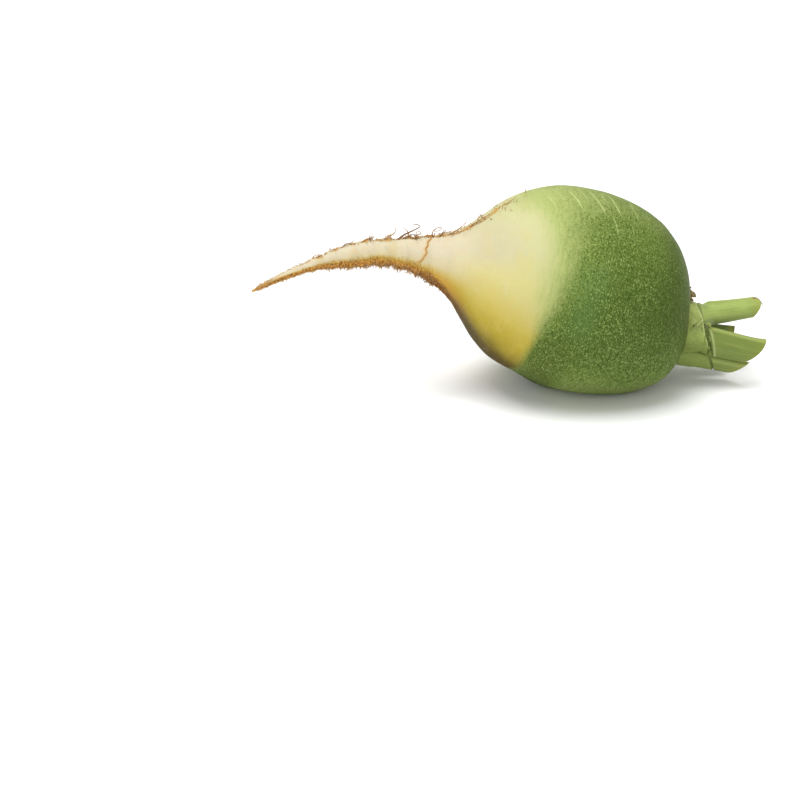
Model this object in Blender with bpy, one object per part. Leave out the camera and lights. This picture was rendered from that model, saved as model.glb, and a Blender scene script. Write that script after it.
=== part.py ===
"""A Korean radish lying on its side, with its leaves cut off.

The root is one solid: a stout body that narrows through a neck into a long thin tail, with rootlets in two
rows. Five cut leaf stalks clasp the crown in a collar round the youngest leaves, and a withered scale sits
on the shoulder above them.

The frame: +X runs towards the crown and its leaf stalks, +Z is up. The origin is on the flat spot that the
body rests on. Sizes are in millimetres here and become metres when a mesh is made.
"""

import math
import random

import bmesh
import bpy
import numpy as np

MM = 0.001
GAP = 0.3

# The middle line of the root, from the crown to the tip of the tail: x, y, z
ROOT_AXIS = [
    (50.3, 0.0, 25.0), (46.4, 0.0, 29.2), (39.0, 0.0, 33.4), (27.0, 0.0, 38.3), (11.0, 0.0, 45.0),
    (-10.0, 0.0, 52.9), (-33.0, 0.0, 58.5), (-50.0, 0.0, 63.1), (-65.0, 0.0, 67.2), (-79.0, 0.0, 70.7),
    (-99.0, -0.2, 72.9), (-114.0, -2.5, 72.1), (-128.0, -6.0, 70.4), (-137.0, -9.0, 68.5),
    (-148.0, -13.2, 65.8), (-155.0, -16.0, 63.6), (-160.0, -18.0, 62.0),
]
# How far along that line from the crown, and how thick the root is there: distance, radius
ROOT_PROFILE = [
    (0.0, 17.0), (1.0, 19.1), (3.4, 23.6), (8.6, 31.6), (14.7, 37.5), (22.5, 42.2), (32.2, 46.0),
    (43.9, 48.8), (55.6, 49.9), (69.3, 48.8), (82.9, 45.4), (93.6, 41.2), (102.4, 34.9), (110.2, 26.8),
    (117.9, 18.8), (125.8, 13.7), (135.6, 9.9), (147.2, 7.2), (160.8, 6.2), (172.5, 5.7), (182.3, 4.1),
    (194.0, 2.8), (207.7, 2.1), (216.4, 1.5), (223.3, 0.7),
]
ROOT_RINGS = 76
ROOT_SIDES = 44
TANGENT_STEP = 3.0

# The crown's flat top leans down by this much, and the rings near it turn to match
CROWN_LEAN = math.radians(12.0)
CROWN_TURN = 30.0

# Growing point: the short dome in the middle of the crown, which the leaves stand round
POINT_RADIUS = 4.2
POINT_HEIGHT = 3.4
POINT_SINK = 2.0
POINT_SIDES = 16
POINT_RINGS = 5

# Low relief, by distance from the crown: the body's lobes, the furrow that each row of rootlets stands in,
# and the wrinkles of the tail
LOBE_HEIGHT = 0.5
LOBE_RISE = (0.0, 20.0)
LOBE_FALL = (125.0, 85.0)
FURROW_DEPTH = 0.8
FURROW_WIDTH = math.radians(9.0)
FURROW_RISE = (70.0, 112.0)
FURROW_FALL = (190.0, 150.0)
FURROW_SWAY = 0.06
WRINKLE_DEPTH = 0.32
WRINKLE_LENGTH = 9.0
FINE_WRINKLE_LENGTH = 4.8
WRINKLE_RISE = (112.0, 132.0)
WRINKLE_FALL = (215.0, 185.0)
THINNEST_SKIN = 0.6

# Rest spot: the body is pressed flat at z = 0, and the side of it under the neck is a little fuller, so the
# flat reaches past the middle of the weight. The fullness eases in and out over these stretches.
FULLNESS = 4.0
FULL_ALONG = ((-56.0, -14.0), (10.0, -2.0))
FULL_ACROSS = ((-16.0, 2.0), (24.0, 8.0))
FULL_BELOW = (25.0, 15.0)

# The two rows of rootlets, as angles round the root: 90 degrees is up, 180 faces -Y
ROOTLET_ROWS = (math.radians(88.0), math.radians(236.0))
ROOTLETS_A_ROW = 16
ROOTLET_FROM = 98.0
ROOTLET_TO = 212.0
ROOTLET_LENGTH = (2.6, 6.0)
ROOTLET_RADIUS = 0.6
ROOTLET_TIP_RADIUS = 0.3
ROOTLET_SINK = 1.2
ROOTLET_STRAY = 0.22
ROOTLET_LEAN = (-0.2, 0.7)
ROOTLET_CURL = 1.1
ROOTLET_GROWTH = (0.45, 2.2)
ROOTLET_SHARE = 0.35
ROOTLET_SIDES = 5
ROOTLET_RINGS = 6
SEED = 11

# Collar: where the leaf bases stand on the crown, as radii from its middle
COLLAR_INNER = 5.2
COLLAR_OUTER = 16.8
COLLAR_BASE = 7.0
COLLAR_HEIGHT = 15.5
LEAF_RINGS = 14
LEAF_OUTER_POINTS = 9
LEAF_INNER_POINTS = 7
EDGE_THICKNESS = 0.8
STALK_LEAVE = 0.35
STALK_ARRIVE = 0.3
STALK_TAPER = 0.14
STALK_SET_IN = 0.3

# Each leaf: the part of the collar its base clasps (degrees from up, turning away from -Y), the angle its
# stalk stands at and how far out, its width, thickness and channel depth, how it is turned about itself
# (degrees), how much its cut slants, and the middle of its cut end (x, y, z)
LEAVES = {
    "leaf_stalk_upper": ((-49.0, 50.0), -2.0, 12.0, 14.0, 8.0, 2.5, -38.0, 0.5, (92.0, 3.0, 35.2)),
    "leaf_stalk_middle": ((-102.0, -50.0), -76.0, 14.0, 15.0, 6.0, 2.0, 6.0, 0.7, (88.0, -15.5, 19.2)),
    "leaf_stalk_lower": ((-163.0, -103.0), -137.0, 13.0, 12.5, 6.5, 1.8, 0.0, 1.0, (78.5, -10.0, 8.0)),
    "leaf_stalk_rear_high": ((51.0, 132.0), 104.0, 12.0, 11.0, 5.5, 1.6, 0.0, 0.0, (83.0, 12.5, 17.2)),
    "leaf_stalk_rear_low": ((133.0, 196.0), 165.0, 12.5, 11.5, 5.5, 1.6, 0.0, 0.3, (75.5, 5.0, 8.0)),
}

# Heart: the youngest leaves, as distances out from the crown and radii there, with three ribs
HEART_HEIGHTS = (POINT_HEIGHT + GAP, 5.5, 8.0, 10.5, 12.5)
HEART_RADII = (3.4, 4.2, 4.1, 3.7, 3.2)
HEART_RIBS = 3.0
HEART_RIB_HEIGHT = 0.12
HEART_SIDES = 18

# Withered scale: where its foot stands (up, aside and out from the crown's middle), its length, how far its
# tip curls, and its half widths and half thicknesses from foot to tip
SCALE_FOOT = (19.4, 3.0, -0.1)
SCALE_LENGTH = 4.2
SCALE_CURL = 1.2
SCALE_HALF_WIDTHS = (2.4, 2.7, 2.1, 0.9)
SCALE_HALF_DEPTHS = (0.6, 0.5, 0.45, 0.4)
SCALE_SIDES = 10

# Plain colours and roughness of the pieces, and the angle above which an edge stays sharp
GREEN = (0.30, 0.42, 0.10)
PALE_GREEN = (0.48, 0.58, 0.20)
DARK_GREEN = (0.22, 0.32, 0.08)
BROWN = (0.30, 0.19, 0.08)
SKIN_ROUGHNESS = 0.5
STALK_ROUGHNESS = 0.45
DRY_ROUGHNESS = 0.85
SHARP_EDGE = math.radians(50.0)


def unit(vectors):
    """Vectors scaled to length one."""
    return vectors / np.linalg.norm(vectors, axis=-1, keepdims=True)


def ease(value):
    """0 below 0, 1 above 1, and a smooth step between."""
    t = np.clip(value, 0.0, 1.0)
    return t * t * (3.0 - 2.0 * t)


def window(values, rise, fall):
    """1 between two stretches, easing in over the first and out over the second (given backwards)."""
    rising = ease((values - rise[0]) / (rise[1] - rise[0]))
    return rising * ease((values - fall[0]) / (fall[1] - fall[0]))


def chord_lengths(points):
    """How far along the points each one is, in straight steps."""
    steps = np.linalg.norm(np.diff(points, axis=0), axis=1)
    return np.concatenate([[0.0], np.cumsum(steps)])


def smooth_curve(points, at):
    """Read a smooth curve through the points, at distances along it."""
    points = np.asarray(points, dtype=float)
    knots = chord_lengths(points)
    slopes = np.gradient(points, knots, axis=0)
    at = np.clip(at, 0.0, knots[-1])
    k = np.clip(np.searchsorted(knots, at, side="right") - 1, 0, len(knots) - 2)
    span = (knots[k + 1] - knots[k])[:, None]
    t = (at - knots[k])[:, None] / span
    start = (1.0 + 2.0 * t) * (1.0 - t) ** 2 * points[k]
    end = t * t * (3.0 - 2.0 * t) * points[k + 1]
    bend = span * t * (1.0 - t) * ((1.0 - t) * slopes[k] - t * slopes[k + 1])
    return start + end + bend


def root_frames(distances):
    """The middle of the root, its direction towards the tail, its +Y side and its upper side."""
    length = chord_lengths(np.asarray(ROOT_AXIS))[-1]
    centre = smooth_curve(ROOT_AXIS, distances)
    ahead = smooth_curve(ROOT_AXIS, np.minimum(distances + TANGENT_STEP, length))
    behind = smooth_curve(ROOT_AXIS, np.maximum(distances - TANGENT_STEP, 0.0))
    along = unit(ahead - behind)
    crown = ease(1.0 - distances / CROWN_TURN)[:, None]
    lean = np.array((-math.cos(CROWN_LEAN), 0.0, math.sin(CROWN_LEAN)))
    along = unit(along + (lean - along) * crown)
    side = unit(np.cross(along, (0.0, 0.0, 1.0)))
    upper = np.cross(side, along)
    return centre, along, side, upper


def relief(distances, angles):
    """How far the skin stands out from the plain profile: lobes, the two furrows and the wrinkles."""
    s = distances[:, None]
    a = angles[None, :]
    lobes = np.cos(3.0 * a + 0.7) + 0.7 * np.cos(2.0 * a - 0.4 + s / 60.0)
    height = LOBE_HEIGHT * window(s, LOBE_RISE, LOBE_FALL) * lobes
    for row in ROOTLET_ROWS:
        off = np.angle(np.exp(1j * (a - row - FURROW_SWAY * np.sin(s / 13.0))))
        furrow = np.exp(-((off / FURROW_WIDTH) ** 2))
        height = height - FURROW_DEPTH * window(s, FURROW_RISE, FURROW_FALL) * furrow
    wave = np.sin(2.0 * np.pi * s / WRINKLE_LENGTH + 0.9 * np.sin(a))
    wave = wave + 0.5 * np.sin(2.0 * np.pi * s / FINE_WRINKLE_LENGTH + 2.0 * a)
    return height + WRINKLE_DEPTH * window(s, WRINKLE_RISE, WRINKLE_FALL) * wave


def press_flat(points):
    """Fill the underside out towards the neck and cut it off flat at z = 0."""
    x, y, z = points[..., 0], points[..., 1], points[..., 2]
    under = ease((z - FULL_BELOW[0]) / (FULL_BELOW[1] - FULL_BELOW[0]))
    full = FULLNESS * window(x, *FULL_ALONG) * window(y, *FULL_ACROSS) * under
    pressed = points.copy()
    pressed[..., 2] = np.maximum(z - full, 0.0)
    return pressed


def root_grid():
    """Rings of points round the root, spaced evenly along its outline."""
    outline_length = chord_lengths(np.asarray(ROOT_PROFILE))[-1]
    profile = smooth_curve(ROOT_PROFILE, np.linspace(0.0, outline_length, ROOT_RINGS))
    distances, radii = profile[:, 0], profile[:, 1]
    centre, _, side, upper = root_frames(distances)
    angles = np.linspace(0.0, 2.0 * np.pi, ROOT_SIDES, endpoint=False)
    skin = np.maximum(radii[:, None] + relief(distances, angles), THINNEST_SKIN)[..., None]
    round_side = np.cos(angles)[None, :, None] * side[:, None, :]
    round_upper = np.sin(angles)[None, :, None] * upper[:, None, :]
    return press_flat(centre[:, None, :] + skin * (round_side + round_upper))


def root_radius(distance):
    """The plain radius of the root at a distance from the crown."""
    table = np.asarray(ROOT_PROFILE)
    return float(np.interp(distance, table[:, 0], table[:, 1]))


def crown_frame():
    """The middle of the crown's flat top, the way it faces, its upper side and its +Y side."""
    centre, along, side, upper = root_frames(np.array([0.0]))
    return centre[0], -along[0], upper[0], side[0]


def tube_grid(path, radii, sides):
    """Rings of points round a path."""
    along = unit(np.gradient(path, axis=0))
    reference = np.array((0.0, 0.0, 1.0)) if abs(along[0][2]) < 0.9 else np.array((0.0, 1.0, 0.0))
    first = unit(np.cross(along, reference))
    second = np.cross(first, along)
    angles = np.linspace(0.0, 2.0 * np.pi, sides, endpoint=False)
    ring = np.cos(angles)[None, :, None] * first[:, None, :]
    ring = ring + np.sin(angles)[None, :, None] * second[:, None, :]
    return path[:, None, :] + radii[:, None, None] * ring


def rootlet_grids():
    """Side rootlets in two rows: each starts inside the root, leans towards the tail and curls."""
    rng = random.Random(SEED)
    grids = []
    for row in ROOTLET_ROWS:
        for index in range(ROOTLETS_A_ROW):
            share = (index + rng.uniform(0.1, 0.9)) / ROOTLETS_A_ROW
            distance = ROOTLET_FROM + (ROOTLET_TO - ROOTLET_FROM) * share
            angle = row + rng.uniform(-ROOTLET_STRAY, ROOTLET_STRAY)
            growth = ROOTLET_GROWTH[0] + ROOTLET_GROWTH[1] * share * (1.0 - share)
            length = rng.uniform(*ROOTLET_LENGTH) * growth
            lean = rng.uniform(*ROOTLET_LEAN)
            curl = rng.uniform(-ROOTLET_CURL, ROOTLET_CURL)
            centre, along, side, upper = (frame[0] for frame in root_frames(np.array([distance])))
            out = math.cos(angle) * side + math.sin(angle) * upper
            across = np.cross(along, out)
            start = centre + out * (root_radius(distance) - FURROW_DEPTH - ROOTLET_SINK)
            t = np.linspace(0.0, 1.0, ROOTLET_RINGS)[:, None]
            heading = out + along * lean * t + across * curl * t * t + along * 0.8 * curl * t ** 3
            path = start + heading * (length + ROOTLET_SINK) * t
            radius = min(ROOTLET_RADIUS, ROOTLET_SHARE * root_radius(distance))
            radii = radius + (ROOTLET_TIP_RADIUS - radius) * t[:, 0]
            grids.append(tube_grid(path, radii, ROOTLET_SIDES))
    return grids


def growing_point_grid():
    """The dome in the middle of the crown, its foot sunk into the root."""
    centre, facing, upper, side = crown_frame()
    turn = np.linspace(0.0, 0.5 * np.pi, POINT_RINGS + 1)[:-1]
    radii = np.concatenate([[POINT_RADIUS], POINT_RADIUS * np.cos(turn)])
    heights = np.concatenate([[-POINT_SINK], POINT_HEIGHT * np.sin(turn)])
    angles = np.linspace(0.0, 2.0 * np.pi, POINT_SIDES, endpoint=False)
    ring = np.cos(angles)[None, :, None] * side + np.sin(angles)[None, :, None] * upper
    return centre + heights[:, None, None] * facing + radii[:, None, None] * ring


def section_shape(width, thickness, channel):
    """A stalk's section, round on its back and hollowed towards the heart: across, outward."""
    back = np.linspace(0.0, np.pi, LEAF_OUTER_POINTS)
    front = np.linspace(np.pi, 0.0, LEAF_INNER_POINTS + 2)[1:-1]
    half = 0.5 * width
    rise = 0.5 * EDGE_THICKNESS + (thickness - channel) * np.sin(back)
    outer = np.stack([half * np.cos(back), rise], axis=1)
    hollow = np.stack([(half - EDGE_THICKNESS) * np.cos(front), -channel * np.sin(front)], axis=1)
    return np.concatenate([outer, hollow * (1.0, -1.0) - (0.0, 0.5 * EDGE_THICKNESS)])


def collar_shape(start, end):
    """The part of the collar that a leaf base clasps: across, outward, from the crown's middle."""
    margin = 0.5 * GAP / COLLAR_INNER
    outer = np.linspace(start, end, LEAF_OUTER_POINTS)
    inner = np.linspace(end, start, LEAF_INNER_POINTS + 2)[1:-1]
    squeeze = 1.0 - 2.0 * margin / (end - start)
    middle = 0.5 * (start + end)
    outer = middle + (outer - middle) * squeeze
    inner = middle + (inner - middle) * squeeze
    far = COLLAR_OUTER * np.stack([np.sin(outer), np.cos(outer)], axis=1)
    near = COLLAR_INNER * np.stack([np.sin(inner), np.cos(inner)], axis=1)
    return np.concatenate([far, near])


def leaf_grid(clasp, stand, stand_radius, width, thickness, channel, turn, slant, tip):
    """Sections from the clasping base on the crown to the cut end of the stalk."""
    centre, facing, upper, side = crown_frame()
    base = collar_shape(math.radians(clasp[0]), math.radians(clasp[1]))
    stand = math.radians(stand)
    out = math.cos(stand) * upper + math.sin(stand) * side
    foot = centre + out * stand_radius + facing * GAP
    tip = np.asarray(tip)
    reach = np.linalg.norm(tip - foot)
    t = np.linspace(0.0, 1.0, LEAF_RINGS)[:, None]
    leave = foot + facing * STALK_LEAVE * reach
    arrive = tip - unit(tip - foot) * STALK_ARRIVE * reach
    path = (1 - t) ** 3 * foot + 3 * t * (1 - t) ** 2 * leave + 3 * t * t * (1 - t) * arrive + t ** 3 * tip
    along = unit(np.gradient(path, axis=0))
    across = unit(np.cross(along, out))
    outward = np.cross(across, along)
    roll = math.radians(turn)
    across, outward = (across * math.cos(roll) + outward * math.sin(roll),
                       outward * math.cos(roll) - across * math.sin(roll))
    shape = section_shape(width, thickness, channel)
    taper = 1.0 - STALK_TAPER * t[:, :, None]
    offset = taper * (shape[None, :, :1] * across[:, None, :] + shape[None, :, 1:] * outward[:, None, :])
    offset = offset - outward[:, None, :] * STALK_SET_IN * thickness
    offset = offset + slant * (t ** 3)[:, :, None] * offset[..., 2:] * along[:, None, :]
    rise = (path - centre) @ facing
    collar = centre + rise[:, None, None] * facing + base[None, :, :1] * side + base[None, :, 1:] * upper
    share = ease((rise - COLLAR_BASE) / (COLLAR_HEIGHT - COLLAR_BASE))[:, None, None]
    return collar + (path[:, None, :] + offset - collar) * share


def heart_grid():
    """The youngest leaves, cut short: a ribbed bud on the growing point."""
    centre, facing, upper, side = crown_frame()
    heights = np.array(HEART_HEIGHTS)[:, None, None]
    angles = np.linspace(0.0, 2.0 * np.pi, HEART_SIDES, endpoint=False)
    radii = np.array(HEART_RADII)[:, None] * (1.0 + HEART_RIB_HEIGHT * np.cos(HEART_RIBS * angles))[None, :]
    ring = np.cos(angles)[:, None] * side + np.sin(angles)[:, None] * upper
    return centre + heights * facing + radii[..., None] * ring[None, :, :]


def scale_grid():
    """The withered scale: a small curled flake that leans off the shoulder."""
    centre, facing, upper, side = crown_frame()
    up, aside, out = SCALE_FOOT
    foot = centre + upper * up + side * aside + facing * out
    rise = unit(upper + facing)
    t = np.linspace(0.0, 1.0, len(SCALE_HALF_WIDTHS))[:, None]
    path = foot + rise * SCALE_LENGTH * t + facing * SCALE_CURL * t * t
    angles = np.linspace(0.0, 2.0 * np.pi, SCALE_SIDES, endpoint=False)
    width = np.array(SCALE_HALF_WIDTHS)[:, None] * np.cos(angles)[None, :]
    depth = np.array(SCALE_HALF_DEPTHS)[:, None] * np.sin(angles)[None, :]
    return path[:, None, :] + width[..., None] * side + depth[..., None] * np.cross(side, rise)


def mesh_from_grid(name, grid):
    """A closed mesh from rings of points in millimetres, both ends filled."""
    rings, sides = grid.shape[:2]
    shape = bmesh.new()
    verts = [shape.verts.new(point) for point in (grid.reshape(-1, 3) * MM).tolist()]
    for i in range(rings - 1):
        for j in range(sides):
            k = (j + 1) % sides
            shape.faces.new((verts[i * sides + j], verts[(i + 1) * sides + j],
                             verts[(i + 1) * sides + k], verts[i * sides + k]))
    shape.faces.new(verts[:sides])
    shape.faces.new(verts[-sides:][::-1])
    bmesh.ops.triangulate(shape, faces=shape.faces[:])
    bmesh.ops.recalc_face_normals(shape, faces=shape.faces[:])
    mesh = bpy.data.meshes.new(name)
    shape.to_mesh(mesh)
    shape.free()
    return mesh


def add_object(name, grid, collection=None):
    """Put a closed grid into the scene as an object."""
    item = bpy.data.objects.new(name, mesh_from_grid(name, grid))
    (collection or bpy.context.scene.collection).objects.link(item)
    return item


def paint(item, colour, roughness):
    """Give an object its own plain material."""
    material = bpy.data.materials.new(item.name)
    material.use_nodes = True
    shader = material.node_tree.nodes["Principled BSDF"]
    shader.inputs["Base Color"].default_value = (*colour, 1.0)
    shader.inputs["Roughness"].default_value = roughness
    shader.inputs["Metallic"].default_value = 0.0
    item.data.materials.clear()
    item.data.materials.append(material)
    item.data.shade_smooth()
    item.data.set_sharp_from_angle(angle=SHARP_EDGE)


def join_grown_parts(body, grids):
    """Fuse what grows out of the root into it, with one union."""
    growth = bpy.data.collections.new("growth")
    bpy.context.scene.collection.children.link(growth)
    for index, grid in enumerate(grids):
        add_object(f"growth_{index}", grid, growth)
    union = body.modifiers.new("growth", "BOOLEAN")
    union.operation = "UNION"
    union.operand_type = "COLLECTION"
    union.collection = growth
    union.solver = "MANIFOLD"
    graph = bpy.context.evaluated_depsgraph_get()
    joined = bpy.data.meshes.new_from_object(body.evaluated_get(graph))
    body.modifiers.remove(union)
    body.data = joined
    for item in list(growth.objects):
        bpy.data.objects.remove(item)
    bpy.data.collections.remove(growth)


def build_root():
    """The root with its growing point and rootlets."""
    body = add_object("radish_root", root_grid())
    join_grown_parts(body, [growing_point_grid()] + rootlet_grids())
    paint(body, GREEN, SKIN_ROUGHNESS)


def build_leaves():
    """The cut leaf stalks, the heart and the withered scale."""
    for name, leaf in LEAVES.items():
        item = add_object(name, leaf_grid(*leaf))
        paint(item, DARK_GREEN if "rear" in name else PALE_GREEN, STALK_ROUGHNESS)
    paint(add_object("leaf_heart", heart_grid()), PALE_GREEN, STALK_ROUGHNESS)
    paint(add_object("dry_scale", scale_grid()), BROWN, DRY_ROUGHNESS)


def main():
    for item in list(bpy.data.objects):
        bpy.data.objects.remove(item)
    build_root()
    build_leaves()


main()
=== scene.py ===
"""How a Korean radish looks, built as an add-on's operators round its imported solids.

The root's skin is one fine surface, green at the crown and cream towards its long tail, with rows of
rootlets. Five cut leaf stalks, the young leaves inside them and some withered skin stand on its crown. Shapes
are worked out in millimetres, in the part's own frame: +X runs towards the leaves and +Z is up.
"""

import math

import bmesh
import bpy
import numpy as np
from bpy.props import FloatProperty, FloatVectorProperty, IntProperty, PointerProperty
from bpy.types import Operator, Panel, PropertyGroup
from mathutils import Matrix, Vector


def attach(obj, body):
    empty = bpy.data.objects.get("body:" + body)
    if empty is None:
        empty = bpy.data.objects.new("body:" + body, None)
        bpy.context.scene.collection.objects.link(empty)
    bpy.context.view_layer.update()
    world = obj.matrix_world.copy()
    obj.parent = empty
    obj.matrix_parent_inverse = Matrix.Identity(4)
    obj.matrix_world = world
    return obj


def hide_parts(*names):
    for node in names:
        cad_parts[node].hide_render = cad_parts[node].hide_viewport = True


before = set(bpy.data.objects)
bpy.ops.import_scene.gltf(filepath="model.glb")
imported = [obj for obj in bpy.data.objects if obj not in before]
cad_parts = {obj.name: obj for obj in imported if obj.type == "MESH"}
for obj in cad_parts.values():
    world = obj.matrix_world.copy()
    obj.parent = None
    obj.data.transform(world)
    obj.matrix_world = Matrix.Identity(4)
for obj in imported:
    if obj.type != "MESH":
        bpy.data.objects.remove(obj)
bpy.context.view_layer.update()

bl_info = {
    "name": "Korean radish",
    "version": (1, 0, 0),
    "blender": (4, 5, 0),
    "location": "3D View > Sidebar > Radish",
    "description": "Builds a cut Korean radish: its skin, rootlets, leaf stalks and withered scales",
    "category": "Add Mesh",
}

MM = 0.001

# The middle line of the root, from the crown to the tip of the tail: x, y, z
ROOT_AXIS = np.array([
    (50.3, 0.0, 25.0), (46.4, 0.0, 29.2), (39.0, 0.0, 33.4), (27.0, 0.0, 38.3), (11.0, 0.0, 45.0),
    (-10.0, 0.0, 52.9), (-33.0, 0.0, 58.5), (-50.0, 0.0, 63.1), (-65.0, 0.0, 67.2), (-79.0, 0.0, 70.7),
    (-99.0, -0.2, 72.9), (-114.0, -2.5, 72.1), (-128.0, -6.0, 70.4), (-137.0, -9.0, 68.5),
    (-148.0, -13.2, 65.8), (-155.0, -16.0, 63.6), (-160.0, -18.0, 62.0),
])
# How far along that line from the crown, and how thick the root is there: distance, radius
ROOT_PROFILE = np.array([
    (0.0, 17.0), (1.0, 19.1), (3.4, 23.6), (8.6, 31.6), (14.7, 37.5), (22.5, 42.2), (32.2, 46.0),
    (43.9, 48.8), (55.6, 49.9), (69.3, 48.8), (82.9, 45.4), (93.6, 41.2), (102.4, 34.9), (110.2, 26.8),
    (117.9, 18.8), (125.8, 13.7), (135.6, 9.9), (147.2, 7.2), (160.8, 6.2), (172.5, 5.7), (182.3, 4.1),
    (194.0, 2.8), (207.7, 2.1), (216.4, 1.5), (223.3, 0.7),
])
# How far to each side the line's direction is read; then the crown's own lean, and the way over which it ends
TANGENT_STEP = 5.0
CROWN_LEAN = math.radians(12.0)
CROWN_TURN = 32.0

# Skin mesh: steps along the outline of the body and of the tail, where one gives way to the other, and sides
BODY_STEP = 0.8
TAIL_STEP = 0.5
TAIL_AT = 150.0
SKIN_SIDES = 200
# The crown's rings, where the shoulder is evened out and over how many rings, and the growing point's dome
CROWN_RINGS = 28
SHOULDER = ((4.0, 14.0), (78.0, 60.0))
SHOULDER_SPREAD = 6.5
POINT_RADIUS = 4.2
POINT_HEIGHT = 3.4

# Low relief of the skin: heights, widths, lengths of waves, and the distances where each rises and falls
LOBE_HEIGHT = 0.5
LOBE_RISE = (0.0, 20.0)
LOBE_FALL = (125.0, 85.0)
FURROW_DEPTH = 0.8
FURROW_WIDTH = math.radians(9.0)
FURROW_RISE = (70.0, 112.0)
FURROW_FALL = (190.0, 150.0)
FURROW_SWAY = 0.06
WRINKLE_DEPTH = 0.24
WRINKLE_LENGTH = 9.0
FINE_WRINKLE_LENGTH = 4.8
WRINKLE_RISE = (112.0, 132.0)
WRINKLE_FALL = (215.0, 185.0)
THINNEST_SKIN = 0.6
LUMP_HEIGHTS = ((16.0, 0.22), (5.0, 0.08), (2.6, 0.05))
CRUST_HEIGHT = 0.6
CRUST_SIZE = 1.3

# Rest spot: the underside is fuller over these stretches along, across and up, and is pressed flat at z = 0
FULLNESS = 4.0
FULL_ALONG = ((-56.0, -14.0), (10.0, -2.0))
FULL_ACROSS = ((-16.0, 2.0), (24.0, 8.0))
FULL_BELOW = (25.0, 15.0)

# The two rows that rootlets grow in, as angles round the root: 90 degrees is up, 180 faces -Y
UPPER_ROW = math.radians(88.0)
LOWER_ROW = math.radians(236.0)

# The middle of the rough brown band, which winds up the side towards the tip: distance, angle in degrees
BROWN_BAND = np.array([
    (60.0, 252.0), (108.0, 250.0), (124.0, 243.0), (137.0, 242.0), (150.0, 236.0), (160.0, 226.0),
    (170.0, 221.0), (180.0, 207.0), (190.0, 201.0), (200.0, 190.0), (210.0, 176.0), (223.0, 190.0),
])
# How far round from that band, in degrees, the stain beside it fades to the plain pale skin
STAIN_REACH = 120.0
# Knobs where side roots broke off: distance, angle in degrees, size and height
KNOBS = (
    (179.0, 203.0, 2.4, 1.1), (187.5, 206.0, 1.6, 0.6), (168.0, 232.0, 1.8, 0.5), (158.0, 238.0, 1.6, 0.4),
    (163.5, 92.0, 1.5, 0.5), (141.5, 84.0, 2.0, 0.6), (128.5, 88.0, 2.0, 0.6), (199.0, 196.0, 1.2, 0.35),
    (116.5, 84.0, 1.6, 0.4), (209.0, 172.0, 1.0, 0.3), (147.0, 250.0, 2.0, 0.5), (131.0, 246.0, 2.2, 0.6),
)
# Tufts of rootlets along the upper row: distance from the crown, how many, and how long beside the usual
TUFTS = np.array([
    (95.0, 2, 0.3), (104.0, 3, 0.4), (112.0, 3, 0.4), (120.5, 2, 0.6), (128.5, 6, 0.5), (133.0, 5, 0.4),
    (141.5, 8, 0.45), (144.5, 8, 0.55), (153.0, 5, 0.5), (157.5, 4, 0.4), (163.5, 7, 0.45), (170.0, 4, 0.4),
    (178.5, 5, 0.4), (187.0, 4, 0.35), (196.0, 3, 0.35), (206.0, 3, 0.35),
])

# The longest rootlets of the upper row: radius, then the way each one takes: distance from the crown, height
# above the plain skin and how far aside
STRANDS = (
    (0.53, ((148.8, -0.6, 0.0), (146.9, 1.6, 0.2), (144.5, 3.0, 0.6), (142.1, 4.1, 0.4), (140.2, 5.4, 0.0),
            (141.1, 6.1, -0.5), (142.8, 6.1, -0.8))),
    (0.34, ((144.2, -0.4, 0.4), (144.5, 1.6, 0.3), (145.0, 3.1, 0.0), (146.4, 4.7, -0.3),
            (147.4, 6.1, -0.4))),
    (0.40, ((154.4, -0.5, 0.0), (153.0, 1.5, 0.3), (151.1, 2.7, 0.5), (150.6, 4.2, 0.2), (150.9, 6.1, -0.3))),
    (0.31, ((133.8, -0.6, 0.0), (134.2, 2.4, 0.4), (132.7, 4.5, 1.0), (130.9, 3.9, 0.8), (131.4, 2.3, 0.0),
            (133.2, 1.9, -0.6), (133.0, 3.2, -0.4))),
    (0.37, ((126.0, -0.6, 0.0), (123.1, 1.0, 0.4), (121.2, 2.3, 0.5), (119.6, 4.0, 0.1))),
    (0.37, ((166.0, -0.4, 0.3), (163.6, 0.9, 0.2), (161.6, 1.6, 0.6), (160.3, 2.5, 0.8))),
    (0.28, ((161.6, -0.4, -0.2), (162.0, 1.4, 0.0), (161.0, 2.8, 0.3), (161.3, 3.8, 0.5))),
    (0.31, ((176.0, -0.4, 0.5), (173.6, 0.8, 0.4), (170.6, 0.7, 0.2), (168.2, 2.2, 0.0))),
    (0.40, ((147.6, -0.4, 0.8), (145.8, 1.0, 1.2), (143.4, 1.6, 0.8), (141.0, 1.2, 0.2), (139.0, 1.6, 0.4))),
    (0.31, ((142.0, -0.4, 0.4), (140.3, 1.4, 0.6), (139.0, 1.8, 0.0), (140.0, 2.6, -0.4),
            (141.4, 2.3, -0.2))),
    (0.28, ((137.6, -0.3, 0.0), (136.0, 0.9, 0.5), (134.6, 0.8, 0.9), (133.0, 1.4, 0.6))),
    (0.31, ((130.6, -0.4, 0.4), (129.0, 1.3, 0.9), (127.0, 1.2, 0.5), (125.6, 2.0, 0.4))),
    (0.31, ((117.4, -0.4, 0.0), (115.0, 0.5, 0.4), (112.6, 0.7, 0.9), (110.4, 1.2, 1.0))),
    (0.25, ((104.0, -0.4, 0.0), (102.5, 0.7, 0.3), (101.0, 1.0, 0.2), (99.8, 2.0, 0.0))),
    (0.28, ((191.0, -0.4, 0.0), (189.0, 0.8, 0.2), (187.4, 0.9, 0.4), (185.8, 1.8, 0.3))),
)
STRAND_RINGS = 36

# Where the green skin ends, as a distance from the crown, and how much further it reaches along the top
GREEN_END = 83.3
GREEN_REACH = 15.0
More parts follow.
